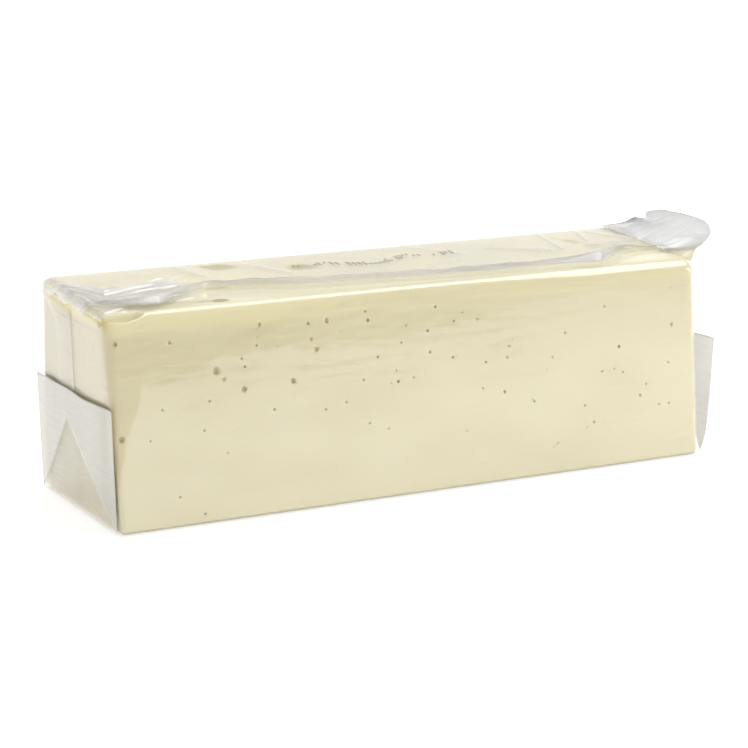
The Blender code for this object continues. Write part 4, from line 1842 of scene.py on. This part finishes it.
@dataclass
class EndGather:
    """The top film where it is gathered over an end: folded on the top, then a short skirt."""

    wrap: Wrap
    side: int
    inner: float
    drop: Line
    height: float
    haze: float
    corner: FoldedCorner
    clear: float = 0.0010
    front: float = -0.0372
    front_free: float = -0.0290
    back: float = 0.0345
    radius: float = 0.0022
    fold_pitch: float = 0.0050
    thinnest: float = 0.004
    across_steps: int = 190
    top_steps: int = 90
    arc_steps: int = 7
    fall_steps: int = 14
    ear: float = 0.0

    def relief(self, way_out: float, along: float) -> float:
        """Height of the folds, from 0 to 1.

        Args:
            way_out: Distance outside the V.
            along: Way along the V's nearer arm.

        Returns:
            The height of the folds that run beside the V.
        """
        bent = way_out + 0.0016 * ripple(along * 60, way_out * 60, 20.0)
        long_fold = ridged(bent / self.fold_pitch, along * 30, 21.0 + self.side)
        short_fold = ridged(bent / self.fold_pitch * 2.3, along * 70, 23.0)
        return (0.80 * long_fold + 0.20 * short_fold) ** 1.5

    def profile(self, y: float) -> list[tuple[float, float, float, float]]:
        """Points of the film over the end at a place across it.

        Args:
            y: Place across the loaf.

        Returns:
            For each point its reach from the middle, its height and its outward
            normal's two parts.
        """
        form = self.wrap.form
        top = form.top_height(y) + self.clear
        edge = form.end_reach(top) + self.clear
        straight = edge - self.radius
        points = []
        for step in range(self.top_steps + 1):
            reach = self.inner + (straight - self.inner) * step / self.top_steps
            points.append((reach, top, 0.0, 1.0))
        for step in range(1, self.arc_steps + 1):
            turn = QUARTER_TURN * step / self.arc_steps
            out, up = math.sin(turn), math.cos(turn)
            points.append((straight + self.radius * out, top - self.radius * (1 - up), out, up))
        drop = read_line(self.drop, y)
        for step in range(1, self.fall_steps + 1):
            points.append((edge, top - self.radius - drop * step / self.fall_steps, 1.0, 0.0))
        return points

    def strength(self, x: float, y: float, reach: float) -> float:
        """Share of the haze that the gathered film has: less in front of the lap and near the front.

        Args:
            x: Place along the loaf, measured on over the end.
            y: Place across it.
            reach: Distance from the loaf's middle.

        Returns:
            The share, from 0 to 1.
        """
        behind = smooth_step(y - read_line(self.wrap.lap_line, x), -0.004, 0.002)
        before = 0.35 + 0.25 * smooth_step(reach, 0.120, 0.132)
        free = smooth_step(reach, 0.1300, 0.1350)
        rising = smooth_step(y, self.front_free, self.front_free + 0.003)
        return (before + (1 - before) * behind) * (free + (1 - free) * rising)

    def row(self, y: float) -> tuple[list[Vector], list[float]]:
        """Make the film's points at a place across the end.

        Args:
            y: Place across the loaf.

        Returns:
            The points and their haze, from the top outwards and down.
        """
        top = self.wrap.form.top_height(y) + self.clear
        side_fade = smooth_step(min(y - self.front, self.back - y), -0.0001, 0.005)
        ear = self.ear * smooth_step(y, 0.0215, 0.0310)
        points, haze = [], []
        for reach, z, out, up in self.profile(y):
            fallen = max(top - z, 0.0)
            x = self.side * (reach + fallen)
            way_out, along = self.corner.place(x, y)
            shown = smooth_step(way_out, -0.0010, 0.0012)
            shown *= smooth_step(reach, self.inner, self.inner + 0.012)
            folds = self.relief(way_out, along)
            crest = math.exp(-((way_out / 0.0009) ** 2))
            calm = 1 - 0.90 * smooth_step(fallen, 0.0, 0.0015)
            lift = self.height * (folds + 0.5 * crest) * shown * side_fade * calm
            spread = ear * out * (1 - smooth_step(fallen, 0.002, 0.009) * 0.5)
            points.append(Vector((self.side * (reach + out * lift + spread), y, z + up * lift)))
            folded = shown * self.haze * (0.50 + 0.60 * folds)
            haze.append(folded * self.strength(x, y, reach))
        return points, haze

    def build(self) -> bpy.types.Object:
        """Make the gathered film and its finish.

        Returns:
            The finished film.
        """
        name = "film_gather_left" if self.side < 0 else "film_gather_right"
        sheet = Sheet(name, thickness=0.00012)
        whole = self.back - self.front
        for index in range(self.across_steps + 1):
            points, haze = self.row(self.front + whole * index / self.across_steps)
            sheet.add_row(points[::-1], haze[::-1])
        near = ((0, 0), (0, 1), (1, 0), (1, 1))
        sheet.kept = lambda i, j: max(sheet.haze[i + a][j + b] for a, b in near) > self.thinnest
        return dress(sheet.build(GATHERED_FILM.material()), Slot.FILM_LAID)


@dataclass
class LowerFlap:
    """A lower flap: frosted film folded up one end from the base.

    stand_low is how far it springs off the end just above the base, stand_high
    how much further it stands off at its top edge, and hug the share of both
    that it loses towards its front edge.
    """

    wrap: Wrap
    name: str
    node: str
    side: int
    front_edge: float
    back_edge: float
    stand_low: float
    stand_high: float
    height: float
    finish: FilmFinish
    mist: float
    foot: float = 0.0012
    spring: float = 0.0050
    up_steps: int = 60
    across_steps: int = 76
    hug: float = 0.0
    apex: tuple[float, float] = (0.0076, 0.0393)
    feet: tuple[tuple[float, float], tuple[float, float]] = ((0.0410, 0.0020), (-0.0405, 0.0030))
    fold_depth: float = 0.00025
    clear: float = 0.0003
    crest_width: float = 0.0007
    crest_height: float = 0.00025
    ripple_height: float = 0.00012
    edge_waver: float = 0.0009
    row_crowding: float = 1.25

    def inside_fold(self, y: float, z: float) -> float:
        """How far a place lies inside the folded triangle.

        Args:
            y: Place across the loaf.
            z: Height above the base.

        Returns:
            Distance from the nearer fold, negative outside the triangle.
        """
        ay, az = self.apex
        gaps = []
        for foot_y, foot_z in self.feet:
            run_y, run_z = foot_y - ay, foot_z - az
            length = math.hypot(run_y, run_z)
            across = ((y - ay) * run_z - (z - az) * run_y) / length
            gaps.append(across if foot_y > ay else -across)
        return min(gaps)

    def stand(self, z: float) -> float:
        """How far the flap stands off the end face at a height."""
        spring = self.stand_low * (1 - math.exp(-z / self.spring))
        return 1.5 * self.wrap.layer + self.clear + spring + self.stand_high * z / self.height

    def base_round(self, z: float) -> float:
        """How far the end face is drawn in by the round edge at its base.

        Args:
            z: Height above the base.

        Returns:
            The distance.
        """
        radius = self.wrap.form.end_radius_low
        below = max(radius - z, 0.0)
        return radius - math.sqrt(radius ** 2 - below ** 2)

    def place(self, y: float, rise: float) -> tuple[Vector, float]:
        """Find a point of the flap.

        Args:
            y: Place across the loaf.
            rise: Share of the way up.

        Returns:
            The point and its haze.
        """
        waver = self.edge_waver * ripple(y * 40, 0.0, 31.0) * smooth_step(rise, 0.5, 1.0)
        top = self.height - waver
        z = self.foot + (top - self.foot) * rise
        fold = self.inside_fold(y, z)
        inside = smooth_step(fold, -0.0005, 0.0012)
        crest = math.exp(-((fold / self.crest_width) ** 2))
        off = self.stand(z) * (1 - self.hug * smooth_step(-y, 0.0280, 0.0400))
        off += self.crest_height * crest - self.fold_depth * inside
        off += self.ripple_height * ripple(y * 90, z * 50, 32.0 + self.side)
        x = self.wrap.form.end_reach(z) - self.base_round(z) + off
        haze = self.mist - (self.mist - 0.08 - 0.65 * self.hug) * inside + 0.14 * crest
        haze += 0.30 * smooth_step(z, top - 0.0008, top) + 0.07 * ripple(y * 60, z * 40, 33.0)
        return Vector((self.side * x, y, z)), haze

    def build(self) -> bpy.types.Object:
        """Make the flap and its finish.

        Returns:
            The finished flap.
        """
        sheet = Sheet(self.name, thickness=0.00015)
        width = self.back_edge - self.front_edge
        shares = [j / self.across_steps for j in range(self.across_steps + 1)]
        crossings = [self.front_edge + width * share for share in shares]
        if self.side < 0:
            crossings.reverse()
        for i in range(self.up_steps + 1):
            rise = (i / self.up_steps) ** self.row_crowding
            found = [self.place(y, rise) for y in crossings]
            sheet.add_row([place for place, _ in found], [haze for _, haze in found])
        return dress(sheet.build(self.finish.material()), Slot.FILM_FREE, self.node)


@dataclass
class LooseTail:
    """Loose tail of film that rises from the top and stands out over the right end.

    The lines give its free edge from its back corner, at 0, to its front
    corner, at 1. Near the back its film is thrown up into one sharp peak.
    """

    back: BackPanel
    root: Line = (
        (0.0, 0.1330), (0.15, 0.1340), (0.4, 0.1345), (0.8, 0.1350), (0.9, 0.1395), (1.0, 0.1412),
    )
    root_back: float = 0.0350
    root_front: float = -0.0320
    reach: Line = (
        (0.0, 0.1503), (0.16, 0.1545), (0.32, 0.1562), (0.52, 0.1580), (0.68, 0.1580),
        (0.80, 0.1556), (0.88, 0.1527), (0.93, 0.1490), (0.965, 0.1440), (1.0, 0.1412),
    )
    across: Line = (
        (0.0, 0.0175), (0.16, 0.0115), (0.32, 0.0045), (0.52, -0.0060), (0.68, -0.0185),
        (0.80, -0.0265), (0.88, -0.0290), (0.93, -0.0305), (0.965, -0.0315), (1.0, -0.0330),
    )
    height: Line = (
        (0.0, 0.1022), (0.16, 0.1041), (0.32, 0.1036), (0.52, 0.1033), (0.68, 0.1022),
        (0.80, 0.0998), (0.88, 0.0972), (0.93, 0.0949), (0.965, 0.0930), (1.0, 0.0884),
    )
    border: tuple[Line, Line, Line] = (
        ((0.0, 0.1343), (0.30, 0.1411), (0.42, 0.1432), (0.55, 0.1453), (0.75, 0.1483), (1.0, 0.1503)),
        ((0.0, 0.0340), (0.30, 0.0290), (0.42, 0.0245), (0.55, 0.0188), (0.75, 0.0168), (1.0, 0.0175)),
        ((0.0, 0.0948), (0.30, 0.0948), (0.42, 0.0960), (0.55, 0.0992), (0.75, 0.0977), (1.0, 0.1022)),
    )
    clear: float = 0.0004
    rise: float = 1.35
    out_steps: int = 70
    across_steps: int = 170
    pleat: float = 0.0006
    corner_steps: int = 40
    corner_share: float = 0.30
    corner_sink: float = 0.0026
    corner_gap: float = 0.0003
    yellow_from: float = 0.80
    yellow_slant: float = 0.17

    def root_place(self, share: float) -> Vector:
        """Find a point of the tail's root, just above the film on the top.

        Args:
            share: Share of the way from its back border to its front one.

        Returns:
            The point.
        """
        x = read_line(self.root, share)
        y = self.root_back + (self.root_front - self.root_back) * share
        lift, _ = self.back.lift(x, y)
        sunk = self.corner_sink * smooth_step(share, 0.76, 0.88)
        return Vector((x, y, self.back.wrap.form.top_height(y) + lift + self.clear - sunk))

    def pleats(self, share: float, out: float) -> tuple[float, float]:
        """Sharp pleats that fan out from the root, and the soft waves between them."""
        return ridged(share * 9.0, out * 1.2, 41.0), ripple(share * 4.0, out * 1.5, 42.0)

    def place(self, share: float, out: float) -> Vector:
        """Find a point of the tail.

        Args:
            share: Share of the way from its back border to its front one.
            out: Share of the way from its root to its free edge.

        Returns:
            The point.
        """
        root = self.root_place(share)
        edge = Vector([read_line(line, share) for line in (self.reach, self.across, self.height)])
        place = root.lerp(edge, out)
        place.z = root.z + (edge.z - root.z) * out ** self.rise
        border = Vector([read_line(line, out) for line in self.border])
        place = place.lerp(border, math.exp(-((share / 0.16) ** 2)))
        fan, soft = self.pleats(share, out)
        open_share = math.sin(math.pi * min(out * 1.1, 1.0)) + 0.15 * out
        place.z += self.pleat * (fan + soft * 1.5) * open_share
        return place

    def mist(self, share: float, out: float) -> float:
        """Haze of the tail at a place on it.

        Args:
            share: Share of the way from its back border to its front one.
            out: Share of the way from its root to its free edge.

        Returns:
            The haze there.
        """
        fan, soft = self.pleats(share, out)
        rim = smooth_step(out, 0.972, 1.0)
        start = smooth_step(out, -0.02, 0.06)
        # Painted shade: a greyer band on the flank below the peak.
        flank = math.exp(-(((out - 0.52) / 0.17) ** 2)) * math.exp(-((share / 0.30) ** 2))
        plain = 0.46 + 0.05 * fan ** 3 + 0.05 * soft
        grey = start * plain + 0.20 * rim + 0.34 * flank
        return grey * (1 - self.yellow(share, out))

    def yellow(self, share: float, out: float) -> float:
        """Share of the front corner, where the film bridges to the loaf and takes its colour."""
        return smooth_step(share - self.yellow_from - self.yellow_slant * out, -0.03, 0.05)

    def outs(self) -> list[float]:
        """Shares of the way from the root to the free edge, one for each point of a row."""
        return [j / self.out_steps for j in range(self.out_steps + 1)]

    def corner(self) -> Sheet:
        """Make the second layer of film, under the tail's front corner.

        Returns:
            The layer, not yet an object.
        """
        sheet = Sheet("film_corner", thickness=0.00010)
        under = Vector((0.0, 0.0, self.corner_gap))
        for i in range(self.corner_steps, -1, -1):
            share = 1.0 - self.corner_share * (1 - i / self.corner_steps)
            places = [self.place(share, out) - under for out in self.outs()]
            sheet.add_row(places, [self.yellow(share + 0.05, out) for out in self.outs()])
        return sheet

    def build(self) -> bpy.types.Object:
        """Make the tail and its second layer, and their finishes.

        Returns:
            The finished tail.
        """
        sheet = Sheet("film_tail", thickness=0.00015)
        for i in range(self.across_steps, -1, -1):
            share = i / self.across_steps
            places = [self.place(share, out) for out in self.outs()]
            sheet.add_row(places, [self.mist(share, out) for out in self.outs()])
        dress(self.corner().build(CORNER_FILM.material()), Slot.FILM_FREE)
        return dress(sheet.build(TAIL_FILM.material()), Slot.FILM_FREE, "wrap_tail")


@dataclass
class StampedMarks:
    """A row of stamped strokes on the back strip, in groups and with gaps, that spell nothing."""

    back: BackPanel
    path: Line = (
        (-0.0380, 0.0117), (-0.0208, 0.0108), (-0.0150, 0.0082), (-0.0067, 0.0053),
        (0.0003, 0.0047), (0.0090, 0.0072), (0.0192, 0.0118), (0.0264, 0.0115),
        (0.0323, 0.0104), (0.0396, 0.0097), (0.0470, 0.0120),
    )
    groups: tuple[tuple[float, float], ...] = (
        (-0.0365, -0.0320), (-0.0262, -0.0238), (-0.0208, 0.0070), (0.0088, 0.0262),
        (0.0318, 0.0450),
    )
    pitch: float = 0.00230
    row_pitch: float = 0.00260
    rows: int = 2
    filled: float = 0.62
    seed: int = 5
    stroke: tuple[float, float, float] = (0.00065, 0.00240, 0.00004)
    turn: float = 0.35
    lift: float = 0.00010

    def tree(self) -> TreeBuilder:
        """Thin out a grid of points and set a turned stroke on each that stays.

        Returns:
            The tree.
        """
        kinds = {
            "Filled": "NodeSocketFloat", "Seed": "NodeSocketInt", "Stroke": "NodeSocketVector",
            "Material": "NodeSocketMaterial",
        }
        build = TreeBuilder("stamped_strokes", kinds)
        dropped = build.node(
            "FunctionNodeCompare", {"data_type": "FLOAT", "operation": "GREATER_THAN"},
            {0: build.chance(), 1: build.given("Filled")},
        )
        left = build.without(dropped.outputs[0])
        bar = build.node("GeometryNodeMeshCube", None, {"Size": build.given("Stroke")})
        turned = build.node(
            "FunctionNodeRandomValue", {"data_type": "FLOAT_VECTOR"},
            {"Seed": build.given("Seed"), 0: (0.0, 0.0, -self.turn), 1: (0.0, 0.0, self.turn)},
        )
        strokes = build.node(
            "GeometryNodeInstanceOnPoints", None,
            {"Points": left, "Instance": bar.outputs[0], "Rotation": turned.outputs[0]},
        )
        build.close(strokes.outputs[0])
        return build

    def build(self) -> bpy.types.Object:
        """Make the strokes as one mesh that lies on the film.

        Returns:
            The finished strokes.
        """
        form = self.back.wrap.form
        places = []
        for start, end in self.groups:
            for step in range(int((end - start) / self.pitch) + 1):
                x = start + step * self.pitch
                for row in range(self.rows):
                    y = read_line(self.path, x) + (row - (self.rows - 1) / 2) * self.row_pitch
                    lift, _ = self.back.lift(x, y)
                    places.append((x, y, form.top_height(y) + lift + self.lift))
        mesh = bpy.data.meshes.new("stamped_marks")
        mesh.from_pydata(places, [], [])
        values = {
            "Filled": self.filled, "Seed": self.seed, "Stroke": self.stroke,
            "Material": InkFinish().material(),
        }
        piece = self.tree().grow(new_piece("stamped_marks", mesh), values)
        return dress(piece, Slot.FILM_LAID)


# ------------------------------------------------------------------ the studio


@dataclass
class Softbox:
    """A plain rectangular studio light."""

    name: str
    place: tuple[float, float, float]
    target: tuple[float, float, float]
    size: tuple[float, float]
    power: float
    spin: float = 0.0

    def build(self) -> None:
        """Hang the light, turn it to its target and spin it about its own axis."""
        lamp = bpy.data.lights.new(self.name, "AREA")
        lamp.shape = "RECTANGLE"
        lamp.size, lamp.size_y = self.size
        lamp.energy = self.power
        light = bpy.data.objects.new(self.name, lamp)
        bpy.context.scene.collection.objects.link(light)
        light.location = self.place
        aim = Vector(self.target) - light.location
        facing = aim.to_track_quat("-Z", "Y") @ Quaternion((0.0, 0.0, 1.0), self.spin)
        light.rotation_euler = facing.to_euler()


@dataclass
class Studio:
    """Floor, light and camera round the loaf."""

    azimuth: float = -27.6
    elevation: float = 12.85
    distance: float = 1.0442
    lens: float = 114.79
    sensor: float = 36.0
    target: tuple[float, float, float] = (-0.002685, 0.0, 0.04401)
    floor_size: float = 14.0
    world_strength: float = 0.50
    sweep_strength: float = 0.56
    clear_layers: int = 24
    lights: tuple[Softbox, ...] = (
        Softbox("overhead", (0.34, 0.36, 1.05), (0.34, 0.36, 0.0), (0.62, 0.50), 3.9),
        Softbox("overhead_right", (0.77, 0.0, 1.05), (0.77, 0.0, 0.0), (0.34, 1.0), 4.6, 0.30),
        Softbox("front", (1.45, -0.95, 0.65), (0.0, 0.0, 0.05), (0.6, 0.8), 8.0),
    )

    def build_floor(self) -> None:
        """Lay the floor."""
        half = self.floor_size / 2
        mesh = bpy.data.meshes.new("floor")
        corners = [(-half, -half, 0.0), (half, -half, 0.0), (half, half, 0.0), (-half, half, 0.0)]
        mesh.from_pydata(corners, [], [(0, 1, 2, 3)])
        mesh.materials.append(FloorFinish().material())
        new_piece("floor", mesh)

    def build_world(self) -> None:
        """Fill the room with white light, brightest low down behind the loaf."""
        world = bpy.data.worlds.new("studio")
        tree = ShaderTree(world)
        coordinates = tree.node("ShaderNodeTexCoord").outputs["Generated"]
        split = tree.node("ShaderNodeSeparateXYZ", None, {0: coordinates})
        behind, up = (Value(tree, split.outputs[name]) for name in "YZ")
        low = 1 - up.step(0.35, 0.75)
        strength = self.world_strength + low * (behind.step(0.45, 0.80) * self.sweep_strength)
        shade = tree.node(
            "ShaderNodeBackground", None, {"Color": (1.0, 1.0, 1.0, 1.0), "Strength": strength}
        )
        tree.node("ShaderNodeOutputWorld", None, {"Surface": shade.outputs[0]})
        bpy.context.scene.world = world
        bpy.context.scene.view_settings.view_transform = "Standard"
        bpy.context.scene.cycles.transparent_max_bounces = self.clear_layers

    def build_camera(self) -> None:
        """Stand the camera where the photograph was taken from."""
        turn, tilt = math.radians(self.azimuth), math.radians(self.elevation)
        back = Vector(
            (math.sin(turn) * math.cos(tilt), -math.cos(turn) * math.cos(tilt), math.sin(tilt))
        )
        lens = bpy.data.cameras.new("camera")
        lens.sensor_width = self.sensor
        lens.lens = self.lens
        camera = bpy.data.objects.new("camera", lens)
        bpy.context.scene.collection.objects.link(camera)
        camera.location = Vector(self.target) + back * self.distance
        camera.rotation_euler = (-back).to_track_quat("-Z", "Y").to_euler()
        bpy.context.scene.camera = camera

    def build(self) -> None:
        """Set up the whole studio."""
        self.build_floor()
        self.build_world()
        self.build_camera()
        for light in self.lights:
            light.build()


def main() -> None:
    """Build the studio, the cheese and each piece of its film, in order."""
    logging.basicConfig(level=logging.INFO, format="%(name)s: %(message)s")
    form = LoafForm()
    wrap = Wrap(form)
    Studio().build()
    block = CheeseBlock(form)
    block.build()
    Pinholes(block).build()
    FrontPanel(wrap).build()
    back = BackPanel(wrap)
    back.build()
    EndGather(
        wrap, side=-1, inner=0.0900, drop=LEFT_SKIRT, height=0.0010, haze=0.62,
        corner=LEFT_CORNER, ear=0.0024,
    ).build()
    EndGather(
        wrap, side=1, inner=0.1300, drop=RIGHT_SKIRT, height=0.0002, haze=0.25,
        corner=RIGHT_CORNER, clear=0.0006, top_steps=24,
    ).build()
    LowerFlap(
        wrap, "film_left_flap", "wrap_left_flap", side=-1, front_edge=-0.0420, back_edge=0.0418,
        stand_low=0.0, stand_high=0.0, height=0.0515, finish=LEFT_FLAP_FILM, mist=0.86, hug=0.55,
    ).build()
    LowerFlap(
        wrap, "film_right_flap", "wrap_right_flap", side=1, front_edge=-0.0412, back_edge=0.0400,
        stand_low=0.0047, stand_high=0.0014, height=0.0527, finish=RIGHT_FLAP_FILM, mist=0.42,
    ).build()
    LooseTail(back).build()
    StampedMarks(back).build()
    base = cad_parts["wrap_base"]
    base.data.materials.clear()
    base.data.materials.append(LAID_FILM.material())


if __name__ == "__main__":
    main()
